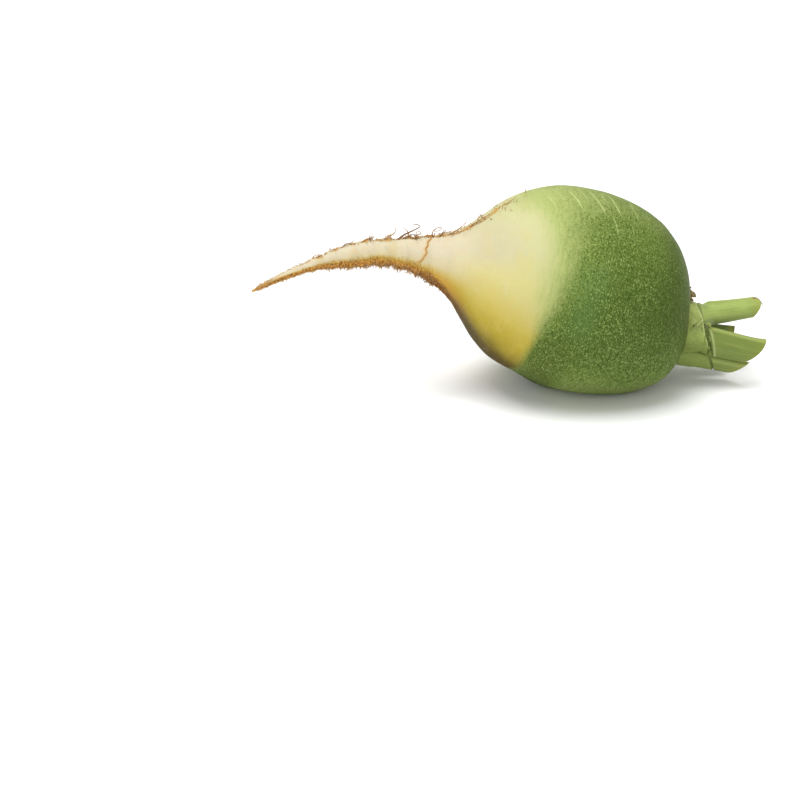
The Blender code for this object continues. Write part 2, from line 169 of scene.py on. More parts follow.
# How far the green takes to deepen: low on the side, more towards the top, and more again along the very top
DEEPEN_LOW = 7.0
DEEPEN_SIDE = 23.0
DEEPEN_TOP = 32.0

# Collar of leaf bases round the crown's middle
COLLAR_INNER = 5.2
COLLAR_OUTER = 16.2
COLLAR_BASE = 7.0
COLLAR_HEIGHT = 15.5
# How far a stalk keeps its direction at its foot and at its cut, and how deep it is set into the collar
STALK_LEAVE = 0.35
STALK_ARRIVE = 0.3
STALK_SET_IN = 0.3
EDGE_THICKNESS = 0.8
FOOT_GAP = 0.3

# Each leaf, as in the solids: the part of the collar its base clasps (degrees from up, turning away from
# -Y), the angle its stalk stands at and how far out, its width, thickness and channel depth, how it is
# turned about itself (degrees), how much its cut slants, how much it narrows, how far its cut end bulges,
# and the middle of its cut end (x, y, z)
LEAVES = {
    "upper": ((-49.0, 50.0), -2.0, 12.0, 14.2, 8.0, 2.5, -38.0, 0.16, 0.27, 2.6, (91.3, 3.0, 36.4)),
    "middle": ((-102.0, -50.0), -76.0, 14.0, 15.0, 6.0, 2.0, 6.0, 0.7, 0.14, 1.5, (87.4, -15.5, 19.2)),
    "lower": ((-163.0, -103.0), -137.0, 13.0, 12.5, 6.5, 1.8, 0.0, 1.0, 0.14, 0.5, (78.5, -10.2, 8.6)),
    "rear_high": ((51.0, 132.0), 104.0, 12.0, 11.0, 5.5, 1.6, 0.0, 0.0, 0.14, 0.3, (83.0, 12.5, 17.2)),
    "rear_low": ((133.0, 196.0), 165.0, 12.5, 11.5, 5.5, 1.6, 0.0, 0.3, 0.14, 0.8, (75.5, 5.0, 8.0)),
}
# The crease where each stalk leaves the collar: its depth, its width, the height of the stalk's own curled
# rim and how much further out it runs with each radian down the side
CREASES = {
    "upper": (0.5, 1.0, 0.0, 0.0), "middle": (2.0, 1.9, 0.5, 0.0), "lower": (0.9, 0.6, 0.0, 4.0),
    "rear_high": (1.0, 0.9, 0.1, 0.0), "rear_low": (1.0, 0.9, 0.1, 0.0),
}


def unit(vectors):
    """Vectors scaled to length one."""
    return vectors / np.linalg.norm(vectors, axis=-1, keepdims=True)


def ease(value):
    """0 below 0, 1 above 1, and a smooth step between."""
    t = np.clip(value, 0.0, 1.0)
    return t * t * (3.0 - 2.0 * t)


def window(values, rise, fall):
    """1 between two stretches, easing in over the first and out over the second (given backwards)."""
    rising = ease((values - rise[0]) / (rise[1] - rise[0]))
    return rising * ease((values - fall[0]) / (fall[1] - fall[0]))


def bell(values, middle, width):
    """A rounded bump: 1 at the middle, falling to about a third at the width from it."""
    return np.exp(-(((values - middle) / width) ** 2))


def angle_from(angles, middle):
    """How far angles are from a middle one, between minus pi and pi."""
    return np.angle(np.exp(1j * (angles - middle)))


def round_angles(count):
    """Angles evenly all round."""
    return np.linspace(0.0, 2.0 * np.pi, count, endpoint=False)


def lumps(points, size, seed):
    """Smooth random lumps, -1 to 1: a seeded lattice of values, eased between its eight nearest corners."""
    cells = 32
    lattice = np.random.default_rng(seed).uniform(-1.0, 1.0, (cells, cells, cells))
    place = np.asarray(points) / size
    corner = np.floor(place).astype(int)
    share = ease(place - corner)
    total = np.zeros(place.shape[:-1])
    for step in np.ndindex(2, 2, 2):
        weight = np.prod(np.where(np.array(step) == 1, share, 1.0 - share), axis=-1)
        i, j, k = np.moveaxis((corner + step) % cells, -1, 0)
        total += weight * lattice[i, j, k]
    return total


def chord_lengths(points):
    """How far along the points each one is, in straight steps."""
    steps = np.linalg.norm(np.diff(points, axis=0), axis=1)
    return np.concatenate([[0.0], np.cumsum(steps)])


def smooth_curve(points, at):
    """Read a smooth curve through the points, at distances along it: cubic pieces whose slopes match."""
    points = np.asarray(points, dtype=float)
    knots = chord_lengths(points)
    slopes = np.gradient(points, knots, axis=0)
    at = np.clip(at, 0.0, knots[-1])
    k = np.clip(np.searchsorted(knots, at, side="right") - 1, 0, len(knots) - 2)
    span = (knots[k + 1] - knots[k])[:, None]
    t = (at - knots[k])[:, None] / span
    start = (1.0 + 2.0 * t) * (1.0 - t) ** 2 * points[k]
    end = t * t * (3.0 - 2.0 * t) * points[k + 1]
    bend = span * t * (1.0 - t) * ((1.0 - t) * slopes[k] - t * slopes[k + 1])
    return start + end + bend


def curve_through(points, share):
    """Read a smooth curve through the points, at shares of its way."""
    return smooth_curve(points, share * chord_lengths(points)[-1])


def section(x, y, across, outward):
    """Points of rings: x in each ring's direction across, and y in its direction outward."""
    return x[..., None] * across[:, None, :] + y[..., None] * outward[:, None, :]


def root_frames(distances):
    """The middle of the root, its direction towards the tail, its +Y side and its upper side."""
    length = chord_lengths(ROOT_AXIS)[-1]
    centre = smooth_curve(ROOT_AXIS, distances)
    ahead = smooth_curve(ROOT_AXIS, np.minimum(distances + TANGENT_STEP, length))
    behind = smooth_curve(ROOT_AXIS, np.maximum(distances - TANGENT_STEP, 0.0))
    along = unit(ahead - behind)
    crown = ease(1.0 - distances / CROWN_TURN)[:, None]
    lean = np.array((-math.cos(CROWN_LEAN), 0.0, math.sin(CROWN_LEAN)))
    along = unit(along + (lean - along) * crown)
    side = unit(np.cross(along, (0.0, 0.0, 1.0)))
    upper = np.cross(side, along)
    return centre, along, side, upper


def crown_frame():
    """The middle of the crown's flat top, the way it faces, its upper side and its +Y side."""
    centre, along, side, upper = root_frames(np.array([0.0]))
    return centre[0], -along[0], upper[0], side[0]


def root_radius(distances):
    """The plain radius of the root at distances from the crown."""
    return np.interp(distances, *ROOT_PROFILE.T)


def press_flat(points):
    """Fill the underside out towards the neck and cut it off flat at z = 0."""
    x, y, z = points[..., 0], points[..., 1], points[..., 2]
    under = ease((z - FULL_BELOW[0]) / (FULL_BELOW[1] - FULL_BELOW[0]))
    full = FULLNESS * window(x, *FULL_ALONG) * window(y, *FULL_ACROSS) * under
    pressed = points.copy()
    pressed[..., 2] = np.maximum(z - full, 0.0)
    return pressed


def off_band(s, a):
    """How far an angle is from the middle of the brown band, in radians."""
    return angle_from(a, np.radians(np.interp(s, *BROWN_BAND.T)))


def tuft_share(s):
    """How near a tuft of rootlets is along the upper row, 0 to 1."""
    at, count, _ = TUFTS.T
    near = bell(s[..., None], at, 2.4) * np.minimum(count / 6.0, 1.0)
    return np.clip(near.sum(axis=-1), 0.0, 1.0)


def knob_shares(s, a):
    """Each knob's rounded bump, 0 to 1, by distance over the skin from its middle."""
    radius = root_radius(s)
    for at, angle, size, height in KNOBS:
        across = radius * angle_from(a, math.radians(angle))
        yield np.exp(-((s - at) ** 2 + across ** 2) / size ** 2), height


def rust_share(s, a):
    """Where the skin is rough and brown, 0 to 1: the brown band, the tufts' places, knobs and the tip."""
    tuft = tuft_share(s)
    across = root_radius(s) * angle_from(a, UPPER_ROW) + 0.7 * np.sin(s / 2.3) + 0.9 * np.sin(s / 5.1)
    patchy = 1.0 + 0.6 * np.sin(0.83 * s) * np.sin(0.31 * s)
    plain = 0.52 * window(s, (94.0, 108.0), (142.0, 132.0)) * patchy
    upper = bell(across, 0.0, 1.3 + 1.2 * plain + 0.5 * tuft) * np.maximum(plain, 0.9 * tuft)
    width = np.interp(s, (108.0, 126.0, 140.0, 170.0, 200.0), (0.2, 0.45, 0.85, 0.7, 0.5))
    lower = bell(off_band(s, a) / width, 0.0, 1.0) * window(s, (112.0, 128.0), (230.0, 222.0))
    tip = 0.7 * ease((s - 204.0) / 16.0)
    share = np.maximum(np.maximum(upper, lower), tip)
    for bump, _ in knob_shares(s, a):
        share = np.maximum(share, 0.9 * bump)
    return np.clip(share, 0.0, 1.0)


def skin_relief(s, a):
    """How far the skin stands out: lobes, furrows and wrinkles, then random lumps and the crust on rust."""
    lobes = np.cos(3.0 * a + 0.7) + 0.7 * np.cos(2.0 * a - 0.4 + s / 60.0)
    height = LOBE_HEIGHT * window(s, LOBE_RISE, LOBE_FALL) * lobes
    for row in (UPPER_ROW, LOWER_ROW):
        off = angle_from(a, row + FURROW_SWAY * np.sin(s / 13.0))
        furrow = window(s, FURROW_RISE, FURROW_FALL) * np.exp(-((off / FURROW_WIDTH) ** 2))
        height = height - FURROW_DEPTH * furrow
    wave = np.sin(2.0 * np.pi * s / WRINKLE_LENGTH + 0.9 * np.sin(a))
    wave = wave + 0.5 * np.sin(2.0 * np.pi * s / FINE_WRINKLE_LENGTH + 2.0 * a)
    height = height + WRINKLE_DEPTH * window(s, WRINKLE_RISE, WRINKLE_FALL) * wave
    radius = root_radius(s)
    straight = np.stack([s + 0.0 * a, radius * np.cos(a), radius * np.sin(a)], axis=-1)
    body = ease((s - 2.0) / 8.0)
    for seed, (size, amount) in enumerate(LUMP_HEIGHTS):
        height = height + amount * body * lumps(straight, size, seed)
    crust = lumps(straight, CRUST_SIZE, 7) + 0.6 * lumps(straight, 0.5 * CRUST_SIZE, 8)
    thin = np.minimum(radius / 6.0, 1.0)
    for bump, amount in knob_shares(s, a):
        height = height + amount * thin * bump * (1.0 - 0.45 * bump)
    return height + CRUST_HEIGHT * rust_share(s, a) * thin * crust


def skin_distances():
    """Distances and radii of the skin's rings, in finer steps along the tail."""
    length = chord_lengths(ROOT_PROFILE)[-1]
    at = np.concatenate([np.arange(0.0, TAIL_AT, BODY_STEP), np.arange(TAIL_AT, length, TAIL_STEP), [length]])
    return smooth_curve(ROOT_PROFILE, at).T


def even_out(rings, distances):
    """Even the shoulder out: draw each ring towards a weighted mean of its neighbours, most near itself."""
    number = np.arange(len(rings))
    weights = np.exp(-0.5 * ((number[:, None] - number) / SHOULDER_SPREAD) ** 2)
    mean = np.tensordot(weights / weights.sum(axis=1, keepdims=True), rings, axes=1)
    return rings + (mean - rings) * window(distances, *SHOULDER)[:, None, None]


def skin_surface():
    """The root as rings: the crown's top from its middle outwards, then the body and the tail.

    A point stands off the middle line by the profile's radius and the relief, in the direction that its
    angle gives between the line's side and its upper side. The crown's top is flat, with a low dome.
    """
    a = round_angles(SKIN_SIDES)[None, :]
    centre, facing, upper, side = crown_frame()
    radii = np.linspace(0.3, ROOT_PROFILE[0, 1], CROWN_RINGS, endpoint=False)[:, None]
    dome = POINT_HEIGHT * np.sqrt(np.clip(1.0 - (radii / POINT_RADIUS) ** 2, 0.0, 1.0))
    flat = radii[..., None] * section(np.cos(a), np.sin(a), side[None], upper[None])
    top = centre + flat + dome[..., None] * facing
    distances, radii_along = skin_distances()
    s = distances[:, None]
    middle, _, side, upper = root_frames(distances)
    out = section(np.cos(a), np.sin(a), side, upper)
    plain = even_out(middle[:, None, :] + radii_along[:, None, None] * out, distances)
    relief = np.maximum(skin_relief(s, a), THINNEST_SKIN - radii_along[:, None])
    body = press_flat(plain + relief[..., None] * out)
    points = np.concatenate([top, body])
    s_all = np.concatenate([np.zeros((CROWN_RINGS, 1)), s]) + 0.0 * a
    r_all = np.concatenate([radii + 0.0 * a, radii_along[:, None] + 0.0 * a])
    a_all = a + 0.0 * s_all
    return points, s_all, r_all, a_all


def add_object(name, data):
    """An object in the scene, with its data."""
    item = bpy.data.objects.new(name, data)
    bpy.context.scene.collection.objects.link(item)
    return item


def mesh_object(name, points, faces, fields):
    """A smooth mesh object from points in millimetres, with its fields as point attributes."""
    mesh = bpy.data.meshes.new(name)
    mesh.from_pydata((points * MM).tolist(), [], faces)
    for field, values in fields.items():
        kind, key = ("FLOAT_VECTOR", "vector") if values.ndim == 2 else ("FLOAT", "value")
        layer = mesh.attributes.new(field, kind, "POINT")
        layer.data.foreach_set(key, values.astype(np.float32).ravel())
    mesh.shade_smooth()
    mesh.validate()
    return add_object(name, mesh)


def tube_faces(tubes, rings, sides):
    """Faces of tubes of rings: quads between neighbours, and a fan to a middle point at each end.

    Points are numbered tube by tube and ring by ring, then come the two end points of each tube.
    """
    first = np.arange(tubes)[:, None, None] * rings * sides
    ring = np.arange(rings - 1)[None, :, None] * sides
    j = np.arange(sides)[None, None, :]
    k = (j + 1) % sides
    here = first + ring
    beyond = here + sides
    quads = np.stack([here + j, beyond + j, beyond + k, here + k], -1)
    start = first[:, 0] + j[0]
    next_start = first[:, 0] + k[0]
    last = (rings - 1) * sides
    middle = tubes * rings * sides + 2 * np.arange(tubes)[:, None] + 0 * j[0]
    fans = np.concatenate([np.stack([middle, start, next_start], -1),
                           np.stack([middle + 1, next_start + last, start + last], -1)])
    return quads.reshape(-1, 4).tolist() + fans.reshape(-1, 3).tolist()


def tube_values(values):
    """Points or other values of tubes (tube, ring, side, ...), in the order that tube_faces numbers them."""
    ends = values[:, [0, -1]].mean(axis=2)
    width = values.shape[3:]
    return np.concatenate([values.reshape((-1, *width)), ends.reshape((-1, *width))])


def turn_outwards(item, merge):
    """Merge doubled points, where asked, and point the faces of a closed mesh outwards."""
    shape = bmesh.new()
    shape.from_mesh(item.data)
    if merge:
        bmesh.ops.remove_doubles(shape, verts=shape.verts[:], dist=merge * MM)
        bmesh.ops.dissolve_degenerate(shape, edges=shape.edges[:], dist=0.2 * merge * MM)
    bmesh.ops.recalc_face_normals(shape, faces=shape.faces[:])
    shape.to_mesh(item.data)
    shape.free()


def add_piece(name, grids, fields, material, slot, *nodes, merge=0.0):
    """A piece of one or more tubes (rings round, then points) with their fields. It rides on the part, takes
    its material and stands for its solids. The slot it is given is not used."""
    if grids.ndim == 3:
        grids = grids[None]
        fields = {field: values[None] for field, values in fields.items()}
    fields = {field: tube_values(values) for field, values in fields.items()}
    item = mesh_object(name, tube_values(grids), tube_faces(*grids.shape[:3]), fields)
    turn_outwards(item, merge)
    item.data.materials.append(material)
    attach(item, "root")
    if nodes:
        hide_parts(*nodes)


def colour(red, green, blue):
    """A colour given as screen values from 0 to 255, made linear."""
    screen = np.array((red, green, blue)) / 255.0
    linear = np.where(screen <= 0.04045, screen / 12.92, ((screen + 0.055) / 1.055) ** 2.4)
    return tuple(float(value) for value in linear)


def read_colour(shade):
    """A colour for a shader: three screen values made linear, or a setting or a link as it is."""
    return colour(*shade) if isinstance(shade, tuple) else shade


class Value:
    """A number that a shader works out. Python's operators on it add Math nodes."""

    def __init__(self, shader, socket):
        self.shader = shader
        self.socket = socket

    def math(self, operation, *inputs):
        settings = {"operation": operation}
        return self.shader.node("ShaderNodeMath", settings, dict(enumerate(inputs)))

    def __add__(self, other):
        return self.math("ADD", self, other)

    def __radd__(self, other):
        return self.math("ADD", other, self)

    def __sub__(self, other):
        return self.math("SUBTRACT", self, other)

    def __rsub__(self, other):
        return self.math("SUBTRACT", other, self)

    def __mul__(self, other):
        return self.math("MULTIPLY", self, other)

    def __rmul__(self, other):
        return self.math("MULTIPLY", other, self)

    def __truediv__(self, other):
        return self.math("DIVIDE", self, other)

    def __rtruediv__(self, other):
        return self.math("DIVIDE", other, self)

    def __pow__(self, other):
        return self.math("POWER", self, other)

    def __rpow__(self, other):
        return self.math("POWER", other, self)


class Shader:
    """A material's node tree. Its methods add nodes and hand back their outputs."""

    def __init__(self, name):
        self.material = bpy.data.materials.new(name)
        self.material.use_nodes = True
        self.tree = self.material.node_tree
        self.surface = self.tree.nodes["Principled BSDF"]

    def node(self, kind, settings=None, inputs=None, output=0):
        """Add a node: its settings first, then its sockets' values or links. A ramp's stops are a setting."""
        node = self.tree.nodes.new(kind)
        for name, value in (settings or {}).items():
            if name == "stops":
                self.set_stops(node.color_ramp, value)
            else:
                setattr(node, name, value)
        for key, value in (inputs or {}).items():
            self.feed(node.inputs[key], value)
        return Value(self, node.outputs[output])

    def feed(self, socket, value):
        """Link a value to a socket, or set the socket to a plain number, colour or vector."""
        if isinstance(value, Value):
            self.tree.links.new(value.socket, socket)
        elif socket.type == "RGBA" and len(value) == 3:
            socket.default_value = (*value, 1.0)
        else:
            socket.default_value = value

    def magnitude(self, value):
        """A number without its sign."""
        return value.math("ABSOLUTE", value)

    @staticmethod
    def set_stops(ramp, stops):
        """Place a colour ramp's stops, from (place, colour) pairs."""
        while len(ramp.elements) < len(stops):
            ramp.elements.new(1.0)
        for element, (at, shade) in zip(ramp.elements, stops):
            element.position = at
            element.color = (*read_colour(shade), 1.0)

    def field(self, name):
        """A number stored on the mesh."""
        return self.node("ShaderNodeAttribute", {"attribute_name": name}, output=2)

    def field_vector(self, name):
        """A vector stored on the mesh."""
        return self.node("ShaderNodeAttribute", {"attribute_name": name}, output=1)

    def place(self):
        """Where the surface is, in metres."""
        return self.node("ShaderNodeTexCoord", output=3)

    def scaled(self, vector, scale):
        """A vector stretched along each axis."""
        return self.node("ShaderNodeVectorMath", {"operation": "MULTIPLY"}, {0: vector, 1: scale})

    def nudged(self, vector, colours, amount):
        """A vector pushed about by a noise's colours, so that a pattern on it isn't regular."""
        inputs = {0: colours, 1: (0.5,) * 3}
        centred = self.node("ShaderNodeVectorMath", {"operation": "SUBTRACT"}, inputs)
        inputs = {0: centred, 1: (amount,) * 3, 2: vector}
        return self.node("ShaderNodeVectorMath", {"operation": "MULTIPLY_ADD"}, inputs)

    def noise(self, vector, scale, detail=3.0, roughness=0.5, output=0):
        """Cloudy noise about one half, or its colours from output 1; three numbers of scale stretch it."""
        if isinstance(scale, tuple):
            vector = self.scaled(vector, scale)
            scale = 1.0
        inputs = {"Vector": vector, "Scale": scale, "Detail": detail, "Roughness": roughness}
        return self.node("ShaderNodeTexNoise", None, inputs, output)

    def parts(self, vector):
        """A vector's three numbers."""
        first = self.node("ShaderNodeSeparateXYZ", None, {0: vector})
        node = first.socket.node
        return tuple(Value(self, socket) for socket in node.outputs)

    def ramp(self, value, stops):
        """A colour read from stops along a value of 0 to 1."""
        return self.node("ShaderNodeValToRGB", {"stops": stops}, {0: value})

    def step(self, value, low, high):
        """0 at low, 1 at high, smooth between; low may be above high."""
        settings = {"interpolation_type": "SMOOTHSTEP"}
        inputs = {"Value": value, "From Min": low, "From Max": high}
        return self.node("ShaderNodeMapRange", settings, inputs)

    def spots(self, vector, scale, size):
        """Round spots of random sizes up to a share of their cells, 1 in the middle and 0 outside."""
        settings = {"feature": "F1"}
        inputs = {"Vector": vector, "Scale": scale}
        distance = self.node("ShaderNodeTexVoronoi", settings, inputs, 0)
        draw = self.node("ShaderNodeTexVoronoi", settings, inputs, 1)
        red = self.node("ShaderNodeSeparateColor", None, {0: draw}, 0)
        return self.step(distance / (red * size + 0.02), 1.0, 0.35)

    def mix(self, share, first, second):
        """Two colours mixed by a share."""
        inputs = {0: share, 6: read_colour(first), 7: read_colour(second)}
        return self.node("ShaderNodeMix", {"data_type": "RGBA"}, inputs, 2)

    def layers(self, ground, *layers):
        """A colour with others laid over it in turn, each by its share."""
        for share, shade in layers:
            ground = self.mix(share, ground, shade)
        return ground

    def bump(self, height, distance, strength=1.0):
        """A normal from a height of 0 to 1, standing a distance in metres high."""
        inputs = {"Height": height, "Distance": distance, "Strength": strength}
        return self.node("ShaderNodeBump", None, inputs)

    def finish(self, **sockets):
        """Set the shader's own sockets, by their names with underscores, and hand back the material."""
        for name, value in sockets.items():
            self.feed(self.surface.inputs[name.replace("_", " ")], value)
        return self.material


def colour_setting(name, description, *screen):
    """A setting for a colour, given as screen values."""
    return FloatVectorProperty(name=name, description=description, subtype="COLOR", size=3,
                               default=colour(*screen), min=0.0, max=1.0)


def length_setting(name, description, default, least, most):
    """A setting for a length, given in millimetres."""
    return FloatProperty(name=name, description=description, unit="LENGTH", subtype="DISTANCE",
                         default=default * MM, min=least * MM, max=most * MM)


def roughness_setting(description, default):
    """A setting for how dull a surface is."""
    return FloatProperty(name="Roughness", description=description, subtype="FACTOR", default=default,
                         min=0.0, max=1.0)


def power_setting(name, description, default):
    """A setting for a light's power, in watts."""
    return FloatProperty(name=name, description=description, unit="POWER", default=default, min=0.0)


def angle_setting(name, description, degrees):
    """A setting for an angle."""
    return FloatProperty(name=name, description=description, subtype="ANGLE", default=math.radians(degrees))


class RootSettings(PropertyGroup):
    """The root's skin."""

    light_green: colour_setting("Light green", "Green skin next to the pale skin", 160, 168, 104)
    green: colour_setting("Green", "Green skin half way to its deepest", 98, 117, 51)
    deep_green: colour_setting("Deep green", "The deepest green", 71, 92, 34)
    fleck: colour_setting("Flecks", "Pale flecks in the green skin", 142, 160, 92)
    cream: colour_setting("Cream", "Pale skin at the top", 180, 174, 140)
    # Yellow and ochre low on the side are partly the skin's own tinge, partly painted shade
    yellow: colour_setting("Yellow", "Pale skin low on the side", 181, 165, 80)
    ochre: colour_setting("Ochre", "Pale skin near the lower row", 138, 122, 44)
    amber: colour_setting("Amber", "Stain beside the brown band of the tail", 190, 142, 60)
    rust: colour_setting("Rust", "Rough brown skin of the tail", 170, 116, 50)
    fleck_size: length_setting("Fleck size", "Usual length of a pale fleck", 1.4, 0.3, 5.0)
    roughness: roughness_setting("How dull the skin is", 0.48)


class RootletSettings(PropertyGroup):
    """The rootlets."""

    colour: colour_setting("Colour", "Dried rootlets", 164, 116, 62)
    length: length_setting("Length", "Usual length of a rootlet in a tuft", 8.5, 1.0, 20.0)
    seed: IntProperty(name="Seed", description="Which random rootlets are drawn", default=4, min=0)


class LeafSettings(PropertyGroup):
    """The leaf stalks and the young leaves inside them."""

    green: colour_setting("Green", "Back of a light stalk", 147, 163, 88)
    # Shade also serves as the painted shade of the lower and rear stalks
    shade: colour_setting("Shade", "Darker stalks and edges", 98, 113, 48)
    pale: colour_setting("Pale", "Ribs and upper bases", 160, 173, 98)
    base: colour_setting("Base", "Clasping bases", 140, 155, 80)
    rim: colour_setting("Rim", "Torn and curled edges", 178, 188, 126)
    flesh: colour_setting("Flesh", "Cut faces", 176, 182, 116)
    roughness: roughness_setting("How dull the stalks are", 0.42)


class StageSettings(PropertyGroup):
    """The floor, the light and the camera."""

    floor: FloatVectorProperty(name="Floor", description="Plain pale floor", subtype="COLOR", size=3,
                               default=(0.92, 0.92, 0.92), min=0.0, max=1.0)
    light: power_setting("Light", "Power of the soft light overhead", 36.0)
    fill: power_setting("Fill", "Power of the weak light in front", 3.4)
    sky: FloatProperty(name="Sky", description="Strength of the light from all round", default=0.6, min=0.0)
    azimuth: angle_setting("Azimuth", "Where the camera stands, round the part", -6.0)
    elevation: angle_setting("Elevation", "How high the camera looks from", 24.0)
    distance: FloatProperty(name="Distance", description="From the camera to the body's middle",
                            unit="LENGTH", subtype="DISTANCE", default=0.98, min=0.1)


# Growth lines on the upper side, slanting: distance from the crown at the top, the stretch across where each
# shows, and how strong it is
GROWTH_LINES = (
    (87.0, -19.0, -5.0, 0.6), (76.6, -21.0, -1.0, 0.675), (68.4, -22.0, 0.0, 0.6),
    (61.5, -21.0, 0.0, 0.675), (81.5, -17.0, -2.0, 0.33), (72.5, -15.0, 0.0, 0.33), (52.0, -18.0, 0.0, 0.39),
    (64.8, -14.0, 0.0, 0.33), (45.0, -14.0, -2.0, 0.24), (66.0, -32.0, -18.0, 0.45),
    (58.0, -30.0, -20.0, 0.33),
)
GROWTH_SLANT = 0.25
# The usual length of a fleck that the spots' scale is set for
FLECK_CELL = 1.4

# A rootlet that clings to the neck, down from the upper row: distances and angles in degrees
CLINGING = np.array([
    (133.2, 84.0), (134.4, 96.0), (135.0, 108.0), (136.2, 120.0), (136.1, 132.0), (136.9, 141.0),
    (136.3, 152.0), (137.2, 164.0), (137.6, 172.0), (139.0, 184.0),
])
CLINGING_RINGS = 90
CLINGING_SIDES = 8
CLINGING_RADIUS = 0.34


def root_material(look):
    """Green skin with pale flecks, cream and yellow skin with faint streaks, and rough brown skin on the
    tail. Numbers beside along, across and up are millimetres from the crown's middle."""
    shader = Shader("root_skin")
    step, noise = shader.step, shader.noise
    straight = shader.field_vector("straight")
    along, across, up = shader.parts(straight)
    border, off_row, tail, rust = (shader.field(name) for name in ("border", "off_row", "tail", "rust"))

    # Noises that the layers share, from broad clouds to fine crumbs
    bent = shader.nudged(straight, noise(straight, 0.22, 2.0, output=1), 1.6)
    cloud = noise(straight, (0.06, 0.05, 0.05))
    stains = noise(straight, (0.12, 0.08, 0.08), 4.0, 0.6)
    streak = noise(straight, (0.9, 0.07, 0.07), 3.0, 0.6)
    thread = noise(bent, (2.4, 0.09, 0.09), 2.0, 0.6)
    grain = noise(straight, (1.1, 0.42, 0.42), 4.0, 0.65)
    crumb = noise(bent, (0.8, 0.5, 0.5), 3.0, 0.65)
    fine = noise(bent, (1.7, 1.0, 1.0), 4.0, 0.7)
    crumbs = noise(straight, 0.9, 5.0, 0.7)
    pits = noise(straight, 1.15, 3.0, 0.7)

    # Green skin: deeper towards the crown, mottled, flecked and tinted, with painted bounce light under the
    # belly and growth lines on top
    deepness = shader.field("depth") + (cloud - 0.5) * 0.30 + (streak - 0.5) * 0.26 + (grain - 0.5) * 0.5
    dull = step(up, 0.0, -22.0) * step(deepness, 0.6, 0.1) * step(border, 60.0, 20.0)
    low = step(up, 2.0, -18.0)
    mottled = step(deepness + low * 0.4, 0.05, 0.6)
    shaded = step(along, 54.0, 70.0) * step(up, -4.0, -22.0)
    cells = FLECK_CELL * MM / look.fleck_size
    flecks = shader.spots(shader.scaled(bent, (1.1, 0.80, 0.80)), cells, 0.6)
    specks = shader.spots(shader.scaled(bent, (1.9, 1.4, 1.4)), cells, 0.66)
    patchy = step(noise(straight, 0.12, 2.0), 0.32, 0.62)
    pale_marks = (flecks * 0.72 + specks * 0.5) * (0.6 + patchy * 0.4)
    # Painted bounce light: the green low under the belly is made lighter, as if lit from the floor
    underside_bounce_light = step(up, -34.0, -45.0) * step(along, 62.0, 46.0)
    shoulder = step(along, 46.0, 20.0) * step(up, -8.0, 12.0)
    threads = step(thread, 0.55, 0.68) * step(up, 0.0, 36.0) * step(along, 40.0, 64.0)
    patch = step(shader.magnitude(along - 65.0), 12.0, 2.0) * step(across, -38.0, -45.0)
    limb = step(along + (cloud - 0.5) * 12.0, 13.0, 2.0) * step(up, 0.0, 26.0)
    green = shader.layers(
        shader.ramp(deepness, ((0.0, look.light_green), (0.5, look.green), (0.98, look.deep_green))),
        (dull * 0.7, (124, 130, 54)),
        (step(fine, 0.52, 0.38) * (mottled * 0.7 + 0.08), (42, 60, 16)),
        (step(fine, 0.53, 0.68) * (mottled * 0.35 + 0.15), look.fleck),
        (step(crumb, 0.5, 0.66) * low * 0.45, (122, 143, 76)),
        (step(crumb, 0.49, 0.33) * low * 0.55, (52, 72, 24)),
        (shaded * 0.45, (70, 82, 26)),
        (pale_marks, look.fleck),
        (underside_bounce_light * 0.4, (146, 164, 90)),
        (shoulder * 0.45, (58, 74, 26)),
        (threads * 0.3, (156, 168, 98)),
        (patch * step(up, -16.0, 0.0) * 0.24, (94, 126, 68)),
        (limb * 0.34, (132, 118, 84)),
    )
    wobble = (cloud - 0.5) * 4.0 + (fine - 0.5) * 1.8 - across * GROWTH_SLANT
    for at, first, last, strength in GROWTH_LINES:
        away = shader.magnitude(along + wobble - at)
        here = step(across, first, first + 6.0) * step(across, last, last - 5.0)
        line = step(away, 0.48, 0.08) * here * step(up, 5.0, 20.0)
        green = shader.mix(line * strength, green, (180, 192, 128))

    # Pale skin, by how far round it lies from the brown band, on the body and on the tail. On the body it
    # darkens through yellow and ochre to brown towards the band low on the side: partly the skin's own tinge
    # and dirt, partly painted shade
    place = off_row + (cloud - 0.5) * 0.14 + (grain - 0.5) * 0.05
    # Darker towards the band: partly real tinge and dirt, partly painted shade on the lower side
    body_pale = shader.ramp(place, (
        (0.0, (68, 54, 14)), (0.13, (84, 70, 16)), (0.24, look.ochre), (0.34, (166, 149, 54)),
        (0.45, look.yellow), (0.70, (190, 181, 122)), (0.87, look.cream),
    ))
    tail_pale = shader.ramp(place, (
        (0.0, (118, 76, 32)), (0.12, (172, 122, 50)), (0.25, look.amber), (0.34, (184, 148, 68)),
        (0.42, (188, 167, 102)), (0.52, (192, 180, 144)), (0.75, (188, 179, 154)),
    ))
    high = step(off_row, 0.4, 0.65)
    blush = step(noise(straight, 0.35, 3.0, 0.6), 0.5, 0.66) * tail * high
    near = step(border, -24.0, -4.0) * step(off_row, 0.4, 0.8)
    pale = shader.layers(
        body_pale,
        (tail, tail_pale),
        (step(streak, 0.5, 0.75) * 0.06, (204, 194, 132)),
        (step(thread, 0.46, 0.34) * 0.05, (150, 128, 70)),
        (step(stains, 0.5, 0.7) * step(off_row, 0.15, 0.4) * 0.3, (190, 170, 96)),
        (step(stains, 0.48, 0.3) * high * 0.3, (192, 184, 146)),
        (blush * 0.3, (198, 164, 128)),
        (near * 0.5, (180, 182, 124)),
    )
